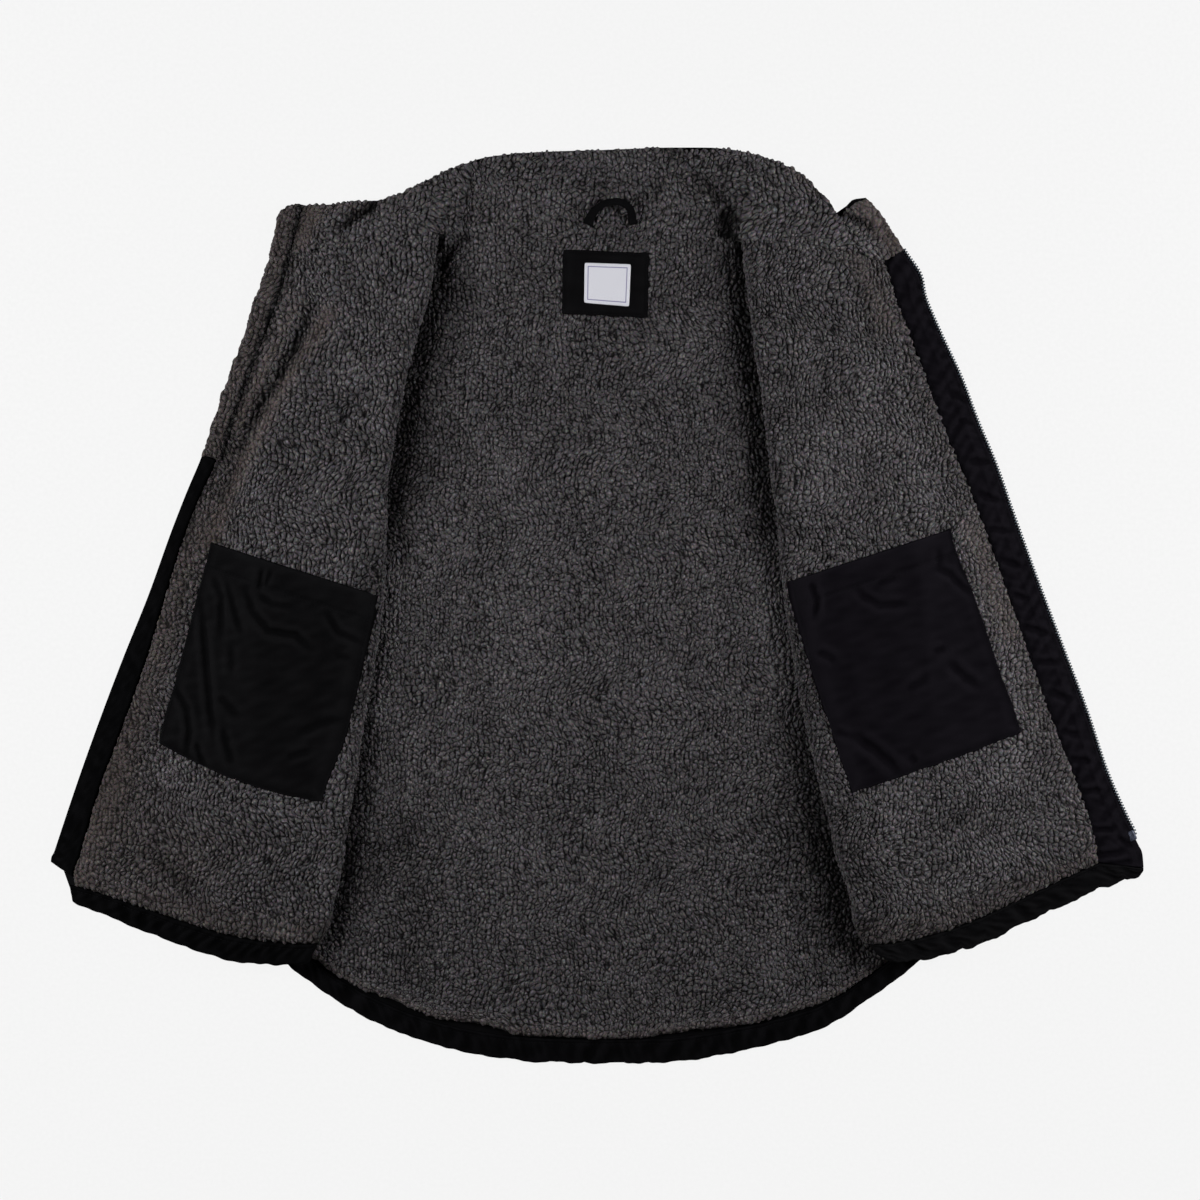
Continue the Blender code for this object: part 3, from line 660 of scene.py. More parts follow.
# raises the tufts of a pile piece out of its surface, where the finish draws them
def tuftGroup():
    tree = bpy.data.node_groups.new("tufts", "GeometryNodeTree")
    for direction in ("INPUT", "OUTPUT"):
        tree.interface.new_socket("Geometry", in_out=direction, socket_type="NodeSocketGeometry")
    inward, outward = tree.nodes.new("NodeGroupInput"), tree.nodes.new("NodeGroupOutput")
    kind = "GeometryNodeInputNamedAttribute"
    place = put(tree, kind, {"Name": "pilePlace"}, data_type="FLOAT_VECTOR").outputs[0]
    lift = put(tree, kind, {"Name": "pileLift"}, data_type="FLOAT").outputs[0]
    rise = sums(tree, "MULTIPLY", sums(tree, "SUBTRACT", tufts(tree, place)[0], 0.5), lift)
    rise = sums(tree, "MULTIPLY", rise, pile["lift"] * mm)
    normal = put(tree, "GeometryNodeInputNormal").outputs[0]
    offset = vectors(tree, "SCALE", {0: normal, "Scale": rise})
    moved = put(tree, "GeometryNodeSetPosition", {"Geometry": inward.outputs[0], "Offset": offset})
    fill(tree, outward, {0: moved.outputs[0]})
    return tree


raiseTufts = tuftGroup()


def raisePile(piece):
    step = piece.modifiers.new("tufts", "NODES")
    step.node_group = raiseTufts
    shown = piece.evaluated_get(bpy.context.evaluated_depsgraph_get())
    raised = bpy.data.meshes.new_from_object(shown)
    raised.name = piece.name
    piece.modifiers.clear()
    old, piece.data = piece.data, raised
    bpy.data.meshes.remove(old)


# where each tuft belongs: places on the cloth in tuft sizes, wandering as the nap does
def pilePlaces(across, down, seed, size=1.0):
    across, down = np.broadcast_arrays(across, down)
    u = across + 0.4 * waves(across, down, 17, seed) + 5.0 * waves(0.4 * across, down, 60, seed + 1)
    v = down + 0.4 * waves(across, down, 19, seed + 2) + 2.0 * waves(across, down, 70, seed + 3)
    u, v = u / (size * pile["tuftWide"]), v / (size * pile["tuftLong"])
    return np.stack((u, v, np.full(u.shape, seed * 3.7)), axis=-1)


# what a pile piece carries to its finish: where its tufts go, how high they stand,
# how much painted shade it takes, painted light below 0, and how worn along edges
def pileFacts(across, down, seed, size, lift, paintedShading, worn=0.0):
    flat = np.zeros(np.broadcast(across, down).shape)
    paintedShading = np.clip(flat + paintedShading, -0.7, 1)                    # below 0 it is painted light, above 0 painted shade
    worn = np.clip(flat + worn, 0, 1)
    return {"pilePlace": pilePlaces(across, down, seed, size), "pilePaintedShading": paintedShading, "pileWorn": worn,
            "pileLift": (flat + lift) * (1 - 0.5 * np.maximum(paintedShading, 0)) * (1 - 0.35 * worn)}


# how far tufts hang past a pile's own edge, given how far inside it they are
def frayed(x, y, fromEdge, seed):
    return pile["fray"] * waves(x, y, 6, seed) * (1 - smooth(fromEdge / 4))


# height of a pile layer's surface: full inside, rounded down to its seams
def rounded(fromEdge, reach, low, high):
    share = np.clip(fromEdge / reach, 0, 1)
    return low + (high - low) * np.sqrt(1 - (1 - share) ** 2)


studio = {
    "lens": 85.0, "high": 2.335, "aim": (1.85, 4.3), "glow": 0.887, "table": 0.03, "sky": 0.045,
    "panels": (
        # x, y, height, watts, size; the two sides rake the pile, the third fills from below the hem
        (-1.15, 0.20, 0.70, 14.5, 0.6), (1.15, 0.25, 0.70, 14.5, 0.6), (0.0, -1.5, 1.3, 1.6, 1.0),
    ),
}


def setStudio():
    scene = bpy.context.scene
    lens = bpy.data.cameras.new("overhead")
    lens.lens, lens.sensor_width, lens.clip_end = studio["lens"], 36.0, 50.0
    camera = bpy.data.objects.new("overhead", lens)
    camera.location = (studio["aim"][0] * mm, studio["aim"][1] * mm, studio["high"])
    scene.collection.objects.link(camera)
    scene.camera = camera
    scene.view_settings.view_transform = "Standard"
    half = 12.0
    sheet = bpy.data.meshes.new("table")
    sheet.from_pydata([(-half, -half, 0), (half, -half, 0), (half, half, 0), (-half, half, 0)], [],
                      [(0, 1, 2, 3)])
    table = bpy.data.objects.new("table", sheet)
    table.location.z = -0.0004
    scene.collection.objects.link(table)
    paper, tree, surface = newFinish("table paper")
    grain = noise(tree, put(tree, "ShaderNodeTexCoord").outputs["Object"], 300.0, 2.0)["Fac"]
    deep, pale = ((studio["table"] + change,) * 3 for change in (-0.01, 0.01))
    fill(tree, surface, {
        "Base Color": ramp(tree, grain, (0.3, deep), (0.7, pale)), "Roughness": 1.0,
        "Specular IOR Level": 0.0, "Emission Color": (1.0, 1.0, 1.0, 1.0),
        "Emission Strength": studio["glow"],
    })
    sheet.materials.append(paper)
    sky = bpy.data.worlds.new("soft room")
    sky.use_nodes = True
    glow = {"Color": (1.0, 1.0, 1.0, 1.0), "Strength": studio["sky"]}
    fill(sky.node_tree, sky.node_tree.nodes["Background"], glow)
    scene.world = sky
    for x, y, high, power, size in studio["panels"]:
        panel = bpy.data.lights.new("soft panel", "AREA")
        panel.shape, panel.size, panel.energy = "DISK", size, power
        lamp = bpy.data.objects.new("soft panel", panel)
        lamp.location = (x, y, high)
        lamp.rotation_euler = (atan2(hypot(x, y), high), 0, atan2(x, -y))
        scene.collection.objects.link(lamp)


setStudio()


back = {
    "middle": 8.0, "hemLow": -378.0, "hemHalf": 263.0, "hemRise": 81.0, "hemPower": 2.8, "band": 20.0,
    "dip": 4.7, "dipOut": 5.0,   # beside the folds
    "hemDrawn": ((60, 0.0), (105, 2.6), (145, 3.2), (175, 1.6), (200, 3.4), (228, 6.8), (262, 8.0)),
    # how strongly each fold presses at these heights, and how wide; the dips also get painted shade
    "press": {
        "right": ((-300, 0.2, 12), (-255, 0.8, 9), (-205, 0.8, 8), (-180, 0.5, 8), (-100, 0.35, 5),
                  (0, 0.1, 5), (50, 0.15, 6), (75, 0.9, 9), (100, 0.95, 12.5), (310, 0.9, 12.5)),
        "left": ((-290, 0.6, 16), (-230, 0.7, 15), (-170, 0.6, 14), (-130, 0.45, 9), (-100, 0.3, 6),
                 (-40, 0.12, 6), (10, 0.1, 6), (50, 0.3, 8), (80, 0.9, 10), (100, 0.85, 12),
                 (300, 0.85, 12)),
    },
    "tones": (
        # width, amount, then the path: painted shadow strokes beside the folds, and some painted light
        # strokes where the amount is below 0
        (15, 0.2, -112, 260, -122, 235, -132, 190, -142, 140, -146, 100),
        (26, 0.28, -165, -200, -160, -240, -155, -290),
        (20, 0.22, 173, -170, 178, -200, 184, -235, 192, -275, 200, -294),
        (15, 0.22, 150, -185, 156, -220, 165, -265), (18, 0.08, 128, -180, 120, -230, 100, -270),
        (10, -0.55, -166, 24, -165, 0, -171, -50, -178, -85), (20, -0.12, -100, -190, -50, -195),
        (13, -0.5, 134, 25, 138, -10, 144, -50, 148, -70), (20, -0.18, 50, -65, 75, -75),
        (6, -0.35, -179, -90, -181, -120, -180, -145),
        (26, -0.16, -85, 110, -60, 70, -45, 30, -60, -60),
    ),
    # how far the pile's own hem is drawn up: x, height
    "pileHem": (
        (-200, 2), (-176, 4), (-166, 6.4), (-157, 5), (-147, 3.3), (-137, 2.5), (-127, 3.3), (-112, 5),
        (-97, 5.8), (-87, 5), (-77, 4), (-68, 0.8), (-18, 1.6), (-8, 0), (43, 0.6), (51, 3.8),
        (84, 3.6), (110, 3), (120, 0.2), (140, 0.8), (150, 2.4), (180, 2.4), (190, 0.8), (215, 1),
    ),
    "creases": ((3.6, -3.6, -95, 303.5, -106, 302, -113, 299, -121, 292, -127, 284, -129, 268),),
    "sides": (
        # how far down (0 to 1), left x, right x
        (0.00, -214, 197), (0.08, -212, 198), (0.17, -217, 204), (0.27, -236, 219), (0.37, -268, 252),
        (0.52, -274, 262), (0.68, -279, 270), (0.84, -283, 277), (0.93, -285, 281), (1.00, -285, 282),
    ),
}
patch = {"corners": ((-29, 291.7), (42, 288.7), (41, 235), (-30, 238)), "round": 2.0, "low": 6.3}
patchLabel = {
    "corners": ((-11, 280.3), (27, 279), (25.5, 244.3), (-11.5, 247.4)), "round": 1.1, "low": 8.3,
}


collar = {
    "steps": (0.0, 0.36, 0.7, 1.0), "offSeam": -1.6,
    "stations": (
        # seam x, top x, top y, then the shell's height at the seam, twice between, and at the top
        (-265, -256, 324, 0, 0, 0, 0), (-259, -247.5, 328, 0, 0, 0, 0), (-240, -227, 328.5, 5, 3, 1, 0),
        (-216, -203, 330, 13, 10, 5, 1), (-190, -176, 332.6, 13.6, 9, 4, 0),
        (-162, -140, 347.2, 14.6, 10, 5, 0), (-141, -120, 358, 19, 13, 6, 0),
        (-126, -108, 362.6, 11, 8, 4, 0), (-112, -97, 367, 2, 1, 0, 0), (-100, -86, 369, 0, 0, 0, 0),
        (-50, -45, 372.5, 0, 0, 0, 0), (0, 5, 374, 0, 0, 0, 0), (60, 60, 376, 0, 0, 0, 0),
        (98, 90, 376, 0, 0, 0, 0), (112, 102, 375, 8, 6, 3, 0), (128, 116, 373, 19, 14, 7, 0),
        (152, 140, 366.5, 14.6, 11, 6, 0), (180, 163, 356, 13.6, 10, 5, 0),
        (200, 179, 339, 13, 10, 5, 1), (219, 196, 320.5, 6, 6, 4, 3), (235, 210, 332.5, 0, 3, 6, 6),
        (252, 220, 334, 0, 1, 3, 5),
    ),
    "creases": (
        (4.5, -3.8, 197, 322, 204, 319, 216, 315, 231, 303), (4, -1.8, -118, 296, -101, 307),
        (5.5, -4.6, -178, 338, -186, 326, -200, 316, -215, 304), (6, -1, 78, 352, 90, 346),
        (9, -4.8, 114, 283, 110.5, 300, 108.8, 316, 105, 327), (5, -1.2, 113, 364, 129, 353),
        (7, -1.6, 104, 328, 96, 341, 86, 348),
    ),
    # how much of the shell's edge shows past the pile: seam x, width
    "bare": ((-250, 0.4), (50, 0.4), (66, 1.8), (92, 2.0), (108, 0.5), (204, 0.5), (218, 3.2),
             (236, 3.6), (250, 1.4)),
    "worn": ((9.0, 0.8, -232, 322, -240, 300), (8.0, 0.5, -214, 327, -190, 331, -150, 343),
             (10.0, 0.9, 222, 326, 236, 308, 246, 296), (8.0, 0.5, 205, 326, 190, 336, 160, 356)),
    # width, amount, then the path: painted shade strokes, and painted light where the amount is below 0
    "tones": ((11, 0.35, 70, 364, 80, 346), (14, -0.35, 222, 322, 224, 302, 221, 288),
              (12, 0.15, -20, 350, 30, 345)),
    "endBow": 1.5, "high": 60.0,
}


def neckY(x):
    return readTable(x, neckSeam)


def hemY(x):
    curve = (np.abs(x - back["middle"]) / back["hemHalf"]) ** back["hemPower"]
    return back["hemLow"] + back["hemRise"] * curve + readTable(x, back["hemDrawn"])


def backPlan(shares, lines, band=0.0):
    table = np.array(back["sides"])
    left, right = (easeThrough(table[:, 0], table[:, side], shares)[:, None] for side in (1, 2))
    x = left + (right - left) * lines[None, :]
    top = neckY(x)
    return x, top + (hemY(x) + band - top) * shares[:, None]


# how far inside a four-sided patch each point is, in mm
def insidePatch(x, y, corners):
    depth = np.full(np.shape(x), 1e9)
    for (startX, startY), (endX, endY) in zip(corners, corners[1:] + corners[:1]):
        length = hypot(endX - startX, endY - startY)
        side = ((endY - startY) * (x - startX) - (endX - startX) * (y - startY)) / length
        depth = np.minimum(depth, side)
    return depth


# the hem's outline: round bumps with sharp nicks between them
def hemRipple(x, y, seed, strength):
    bumps = np.abs(waves(x, 0.35 * y, 30, seed)) ** 0.7
    return strength * (1.9 * bumps - 1.0 + 0.35 * waves(x, 0.4 * y, 9, seed + 1))


def backRipple(x, y):
    return hemRipple(x, y, 71, 0.9)


# the pile climbs to meet the raised ends of the collar beside each fold
def neckRise(x, y):
    shown = smooth((x + 133) / 8) * smooth((120 - x) / 8)
    return readTable(x, collar["stations"], 3) * shown * smooth(1 - (neckY(x) - y) / 24)


# the folded fronts press the pile of the back down beside their folds
def foldDips(x, y):
    total = np.zeros(np.shape(x))
    for side, out in (("right", -1), ("left", 1)):
        path = [(row[0] + out * back["dipOut"], row[1]) for row in frontTables[side]]
        away, along, length = pathDistance(x, y, path)
        uneven = 1 + 0.22 * waves(along, 0 * along, 130, 51 + out)
        strong, wide = (readTable(y, back["press"][side], column) for column in (1, 2))
        total = np.minimum(total, -back["dip"] * uneven * strong * bell(away, wide))
    return total


def backLining():
    length = 671.0
    shares = sharesOf(length, 1.94, 6)
    side = np.linspace(0.0, 0.085, 10)[:-1]
    extra = (0.003, 0.0168, 0.0326, 0.0484, 0.0642, 0.997)
    lines = np.sort(np.concatenate((side, np.linspace(0.085, 0.915, 247), 1 - side, extra)))
    x, y = backPlan(shares, lines, back["band"])
    neckGap, hemGap = shares[:, None] * length, (1 - shares[:, None]) * length
    sideGap = np.minimum(lines, 1 - lines)[None, :] * 500
    fromEdge = least(neckGap, hemGap, sideGap)
    height = rounded(fromEdge, 4.0, liningEdge, liningTop)
    height = np.maximum(height, rounded(neckGap, 2.5, 4.6, liningTop) * (hemGap > 20) * (sideGap > 3))
    pressed = foldDips(x, y) + creaseDepth(x, y, back["creases"])
    height = height + 0.5 * waves(x, y, 45, 5) * smooth(fromEdge / 12)
    height = np.maximum(height + pressed, liningEdge) + neckRise(x, y)
    underPatch = smooth(insidePatch(x, y, patch["corners"]) / 3.0 + 0.4)
    height = height + (6.0 - height) * underPatch
    lift = (0.85 + 0.15 * smooth(fromEdge / 5)) * (1 - 0.95 * underPatch)
    ripple = backRipple(x, y) * smooth(1 - hemGap / 10)
    ripple = ripple - readTable(x, back["pileHem"]) * smooth(1 - hemGap / 24)
    faces = spots(x, y - ripple - frayed(x, y, hemGap, 73), height), spots(x, y - ripple, liningLow)
    # painted shade in the fold dips and creases, plus the painted shade and painted light of the tone
    # strokes
    shade = 0.62 * np.maximum(-pressed / 5.2, 0) ** 1.3 + strokes(x, y, back["tones"])
    # a little darker all over, and lighter within about 20 mm of the hem
    shade = shade + 0.07 - 0.12 * smooth(1.15 - hemGap / 20)
    facts = pileFacts(x, -y, 1, 1.08, lift, shade, 0.7 * smooth(1 - hemGap / 14))
    laySheet("pile_back", faces, 6, facts, pileCloth, "lining_back",
             flat=(0.567, 0.671), held="laid", area=0.335, rests_on=["cotton_back"])


# the cotton's outside: low soft creases, drawn in to the cloth's middle at its edges
def lowRise(wavy, top, fromEdge, reach):
    return np.clip(wavy, 0, top) * smooth(fromEdge / reach) + 0.3 * (1 - smooth(fromEdge / 2.5))


def backShell():
    length = 691.0
    shares = spaced(0.0, length - 0.6, 5.4, 3) / length
    x, y = backPlan(shares, np.linspace(0.0, 1.0, 106))
    creases = (
        (9, 0.7, -180, 60, -120, 20, -60, 10), (7, 0.6, 150, -40, 110, -120, 90, -200),
        (8, 0.6, -60, -180, -20, -240, 40, -270), (6, 0.5, 60, 180, 110, 140, 180, 130),
        (7, 0.6, -120, 220, -90, 160, -80, 90), (10, 0.6, 20, 60, 60, 0, 70, -80),
        (6, 0.5, 200, -220, 150, -260, 80, -280), (7, 0.5, -230, -120, -180, -180, -160, -240),
    )
    wavy = 0.25 + 0.14 * waves(x, y, 60, 31) + creaseDepth(x, y, creases) * 0.6
    edge = np.minimum(shares[:, None], 1 - shares[:, None]) * length
    ripple = backRipple(x, y) * smooth(1 - (1 - shares[:, None]) * length / 30)
    faces = spots(x, y - ripple, lowRise(wavy, 0.75, edge, 10)), spots(x, y - ripple, cloth["shell"])
    laySheet("cotton_back", faces, 3, {"clothPlace": spots(x, y)}, blackCotton, "shell_back",
             flat=(0.567, 0.691), held="laid", area=0.345)


# a hem band's puckers, then its height between its seam and its edge
def bandPuckers(along, down, seed, lean, fine):
    coarse = waves(along + 0.5 * down, down * 0.45, 15, seed)
    return coarse + fine * waves(along - lean * down, down * 0.4, 8, seed + 1)


def bandHeight(down, width, full, puckers, low):
    height = liningLow + rounded(down, 2.0, 0.1, full)
    height = height + puckers * np.maximum(np.sin(pi * down / width), 0) ** 0.7
    height = height - 0.5 * bell(down - 3.2, 0.9)             # drawn in along its stitches
    return rounded(width - down, 2.6, low, 1.0) * height


def backHemBand():
    width = back["band"] - gap
    down = spaced(0.0, width, 1.0, 2, bandSteps)[:, None]
    x, low = backPlan(np.array((1.0,)), np.linspace(0.0, 1.0, 341))
    x, y = np.repeat(x, len(down), 0), low + (width - down)
    puckers = bandPuckers(x - back["middle"], down, 81, 0.3, 0.5)
    height = np.maximum(bandHeight(down, width, 1.5, 1.0 * puckers, 0.35), 0.5)
    low = y - backRipple(x, y) * smooth(1 - (width - down) / 30)
    faces = spots(x, low, height), spots(x, low, np.minimum(height - cloth["thin"], liningLow))
    laySheet("hem_band_back_cloth", faces, 2, {"clothPlace": spots(x, y)}, hemBlackCotton,
             "hem_band_back", flat=(0.60, 0.020), held="folded", rests_on=["cotton_back"])
    stitches("hem_stitches_back", [faces[0][6, 3:-3]])


backShell()
backLining()
backHemBand()
print("back laid")


fronts = {
    "right": {
        "seed": 11, "ripple": 1.2, "tuft": 1.16,
        "seamRound": 6.5, "seamLow": 4.2, "seamShade": 0.7, "seamWorn": 0.35,
        "rollShade": ((-290, 0.1), (-110, 0.0), (-70, 0.35), (30, 0.45), (60, 0.1), (300, 0.05)),
        # width, amount, then the path: painted shade strokes, and painted light where the amount is
        # below 0
        "tones": (
            (22, 0.3, -322, 60, -352, -20, -378, -90, -398, -150, -405, -200),
            (40, 0.22, -330, -160, -310, -200, -260, -230), (7, 0.5, -291, 128, -301, 105, -309, 88),
            (30, 0.1, -235, 190, -250, 120), (12, -0.25, -350, -140, -330, -150),
            (10, -0.25, -172, 190, -174, 145), (45, 0.15, -400, -140, -380, -200),
            (9, -0.3, -245, -270, -268, -264), (20, 0.15, -360, -210, -330, -240),
        ),
        "covered": (4.0, 6.5, 5.0, 2.0, 3.0, 4.0, 0.0),
        "creases": (
            # width, depth, then the path
            (6.5, -3.2, -231, 252, -237, 240, -246, 217, -254, 201, -266, 180, -275, 166, -283, 151,
             -292, 136, -301, 120),
            (7, -1.2, -366, -205, -350, -222, -330, -238), (6, -1, -200, 180, -214, 140, -220, 100),
        ),
        "worn": (
            (8, 0.95, -221, 236, -233, 218, -250, 193, -260, 176, -269, 160, -281, 135, -289, 119, -305,
             84, -318, 50),
            (5, 0.6, -245, 250, -259, 222, -268, 206, -281, 180, -297, 146),
            (17, 0.42, -328, 56, -350, -12, -369, -63, -386, -110, -402, -161, -420, -212),
            (40, 0.4, -400, -150, -380, -200, -340, -215),
        ),
    },
    "left": {
        "seed": 21, "ripple": 1.9, "tuft": 1.08,
        "seamRound": 4.2, "seamLow": 2.1, "seamShade": 0.0, "seamWorn": 0.2,
        "rollShade": ((-290, 0.1), (-250, 0.35), (-200, 0.4), (-150, 0.2), (-60, 0.5), (0, 0.35),
                      (30, 0.15), (80, 0.0), (150, 0.1), (240, 0.25), (300, 0.2)),
        # width, amount, then the path: painted light strokes where the amount is below 0
        "tones": (
            (20, -0.12, 226, 240, 231, 200, 228, 160, 250, 120, 272, 92),
            (18, -0.25, 191, 127, 187, 98), (13, -0.26, 333, -25, 348, -100, 334, -142, 306, -161),
            (16, -0.12, 232, -152, 240, -160), (10, -0.25, 300, 62, 316, 30, 330, -10),
            (14, -0.12, 310, -210, 365, -195), (12, -0.1, 136, 270, 142, 200),
        ),
        "creases": (
            (8, -1.2, 210, 270, 225, 235, 230, 200), (3.5, -1.6, 201, 296, 214, 291, 226, 283),
            (7, -1.4, 318, -150, 300, -172, 276, -190),
        ),
        "worn": ((10.0, 0.6, 208, 292, 222, 262, 236, 230), (9.0, 0.5, 306, 62, 322, 20, 338, -22)),
    },
}

# the pile flap runs on up over the collar's end, this far past the neck seam
flap = {
    "long": 45.0, "seam": (-247.5, 329.5), "edge": (-262.5, 326.5), "high": 5.0,
    "corner": (2.0, -2.2), "foot": (-0.4, -2.4), "clothOver": 4.5,
}


# how far the pile flap reaches in over the right front's lining
def coveredBy(side, down):
    if side == "left":
        return 0.0 * down
    knots = frontKnots("right")[:flapTurn + 1]
    knots = np.concatenate(([-flap["long"]], knots, [knots[-1] + 4]))
    return np.interp(down, knots, fronts["right"]["covered"])


# the stretch of a front between two places, with its section and its edges as lengths
def frontSection(side, places):
    section = sectionOf(frontAt(side, places))
    for name in ("lined", "shellEdge", "inner", "outer"):
        section[name] = lengthAt(section, section["row"][name])
    return section


pockets = {
    "puff": 1.5, "hem": 19.0, "low": 6.15, "sag": {"right": 7.0, "left": 1.0},
    "crease": {"right": 1.1, "left": 1.5},
    "right": (
        (2.8, -1.3, -316, 23, -308, 6, -309, -28), (3, -1.9, -326, 3, -322, -38, -318, -79, -314, -109),
        (2.6, -1.3, -305, 19, -299, 0, -291, -25),
        (2.8, -1.8, -289, 14, -282, -6, -269, -21, -247, -25, -234, -36), (2, -1.6, -274, 29, -277, 11),
        (1.8, -1.2, -267, 28, -272, 14), (2.4, -1, -278, 9, -266, 0, -247, -2),
        (2.6, -1.4, -222, -6, -212, -22, -192, -32),
        (2.6, -1.8, -348, -68, -338, -84, -335, -101, -338, -120), (3.4, -1.1, -311, -73, -294, -88),
        (3, -1.4, -308, -96, -299, -126), (2.4, -1.4, -330, -109, -322, -129),
        (3.6, -1, -207, -93, -228, -96, -247, -104), (3, -0.9, -255, -121, -234, -118),
        (3, -0.8, -300, -32, -300, -57), (2.6, -0.7, -215, -41, -200, -44),
    ),
    "left": (
        (2.8, -1.6, 173, 18, 178, 3, 176, -11), (2.8, -1.1, 211, 14, 216, 7, 230, -1, 254, 0),
        (2.8, -1.3, 276, 30, 288, 25, 299, 14, 307, 8), (2.4, -0.7, 227, 16, 243, 22),
        (3, -1.1, 178, -38, 194, -46), (3.8, -2, 209, -107, 225, -118, 238, -129, 246, -138),
        (3.4, -1.4, 287, -47, 301, -60, 313, -67), (2.6, -0.8, 194, -104, 205, -107),
        (3, -0.7, 279, 46, 279, 30), (3.6, -0.7, 252, -71, 265, -61, 271, -55),
        (3, -0.9, 254, -123, 260, -129), (3, -0.8, 274, -39, 284, -36),
    ),
}


# the pocket's bottom edge hangs this much lower in its middle
def pocketSag(side, section, at):
    start, stop = rowPlace(side, pocketTop), rowPlace(side, pocketBottom)
    share = np.clip((at - section["inner"]) / (section["outer"] - section["inner"]), 0, 1)
    down = np.clip((section["row"]["down"] - start) / (stop - start), 0, 1)
    return pockets["sag"][side] * 4 * share * (1 - share) * down ** 2


def frontLining(side):
    made, every = fronts[side], 6
    start, stop = rowPlace(side, 0), rowPlace(side, liningEnd)
    section = frontSection(side, spaced(start, stop, 1.32, every))
    row, begin, seam = section["row"], section["rollStart"], section["lined"]
    down, fromHem = row["down"], stop - row["down"]
    hidden = begin * np.concatenate(((0.0, 0.02, 0.06), np.linspace(0.13, 1.0, 9)[:-1]))[None, :]
    near = np.array((3.6, 2.3, 1.2, 0.5, 0.0))
    low, high = onTop(section, begin), onTop(section, seam - near[0])
    count = int(np.max(section["topLength"][:, -1:] - low) / 1.36)
    count += -(count + hidden.shape[1] + len(near) - 1) % every
    shares = np.linspace(0, 1, count + 1)[:-1][None, :]
    shown = readRows(low + (high - low) * shares, section["topLength"], section["length"])
    at = np.concatenate((hidden, shown, seam - near[None, :]), axis=1)
    x, y = plan(onSection(section, at, liningTop))
    fromSeam = seam - at - coveredBy(side, down)
    fromEnds = np.minimum(down - start, fromHem)
    fromEdge = least(np.maximum(least(fromSeam, at, fromEnds), (down < 40) * 6.0), fromSeam, fromHem)
    isTop = smooth((at - section["rollEnd"] + 6) / 8)
    crease = creaseDepth(x, y, made["creases"]) * isTop
    height = rounded(fromSeam, made["seamRound"], made["seamLow"], liningTop)
    height = np.minimum(height, rounded(np.minimum(fromEnds, at), 4.2, liningEdge, liningTop))
    atNeck = rounded(down - start, 2.0, 4.9, liningTop) * (down - start < 20) * (fromSeam > 6)
    height = np.maximum(height, atNeck)
    height = height + (0.7 * waves(x, y, 38, made["seed"]) + crease) * smooth(fromEdge / 9)
    pocketFrom, pocketTo = rowPlace(side, pocketTop), rowPlace(side, pocketBottom)
    inPocket = least(down - pocketFrom, pocketTo + pocketSag(side, section, at) - down,
                     at - section["inner"], section["outer"] - at)
    under = smooth(inPocket / 3.0 + 0.3)
    height = np.minimum(height + (5.9 - height) * under, liningTop + cloth["bulge"])
    lift = (0.85 + 0.15 * smooth(fromEdge / 5)) * (1 - 0.95 * under)
    lift = lift * (0.5 + 0.5 * smooth(at / begin * 2 - 1))
    fray = frayed(x, y, fromSeam, made["seed"] + 7) * isTop
    outer = onSection(section, at + fray * (side == "left"), height)
    outer[..., 1] -= frayed(x, y, fromHem, made["seed"] + 8) * isTop
    lower = onSection(section, at[:, ::every], liningLow)[::every]
    unfolded = onTop(section, at) - onTop(section, section["rollEnd"])
    pileX, pileY = rowPlan(row, unfolded + cloth["rollClear"] + liningTop + row["roll"])
    besideRoll = bell(at - section["rollEnd"], 13)
    byHem = smooth(1.2 - fromHem / 18)
    # painted shade in the creases, along the seam, at the roll's start under the fold, beside the roll
    # and near the hem, with the painted shade and painted light of the tone strokes
    seamDark = bell(fromSeam, cloth["seamDark"]) * (0.15 + 0.85 * smooth((y - 20) / 60))
    shade = np.maximum(-crease / 4.5, 0) + made["seamShade"] * seamDark
    shade = shade + 0.9 * smooth(1 - (at - begin) / 6)
    shade = shade + besideRoll * readTable(y, made["rollShade"]) * isTop
    shade = shade + strokes(x, y, made["tones"]) + 0.2 * byHem
    worn = strokes(x, y, made["worn"]) * isTop + 0.48 * byHem
    worn = worn + made["seamWorn"] * smooth(1.3 - fromSeam / 18)
    facts = pileFacts(pileX, -pileY, made["seed"], made["tuft"], lift, shade, worn)
    laySheet("pile_front_" + side, (outer, lower), every, facts, pileCloth, "lining_front_" + side,
             flat=(0.29, 0.54), held="folded", area=0.140, rests_on=["cotton_front_" + side])


# a front's cotton follows the ripples of its hem
def rippled(side, row, stop, *faces):
    share = smooth((row["down"] - stop + 25) / 25)
    for points in faces:
        points[..., 1] -= hemRipple(*plan(points), fronts[side]["seed"], fronts[side]["ripple"]) * share
    return faces


def frontShell(side):
    start, stop = rowPlace(side, 0), rowPlace(side, hemRow) - 0.4
    section = frontSection(side, spaced(start, stop, 3.9, 3))
    row = section["row"]
    at = section["shellEdge"] * np.linspace(0, 1, 73)[None, :]
    x, y = plan(onSection(section, at, 0.0))
    wavy = 0.28 + 0.3 * waves(x, y, 42, fronts[side]["seed"] + 5)
    rise = lowRise(wavy, 0.8, np.minimum(row["down"] - start, stop - row["down"]), 8)
    faces = rippled(side, row, stop, onSection(section, at, rise),
                    onSection(section, at, cloth["shell"]))
    laySheet("cotton_front_" + side, faces, 3, {"clothPlace": spots(at, row["down"])}, blackCotton,
             "shell_front_" + side, flat=(0.30, 0.56), held="folded", area=0.150, rests_on=["pile_back"])


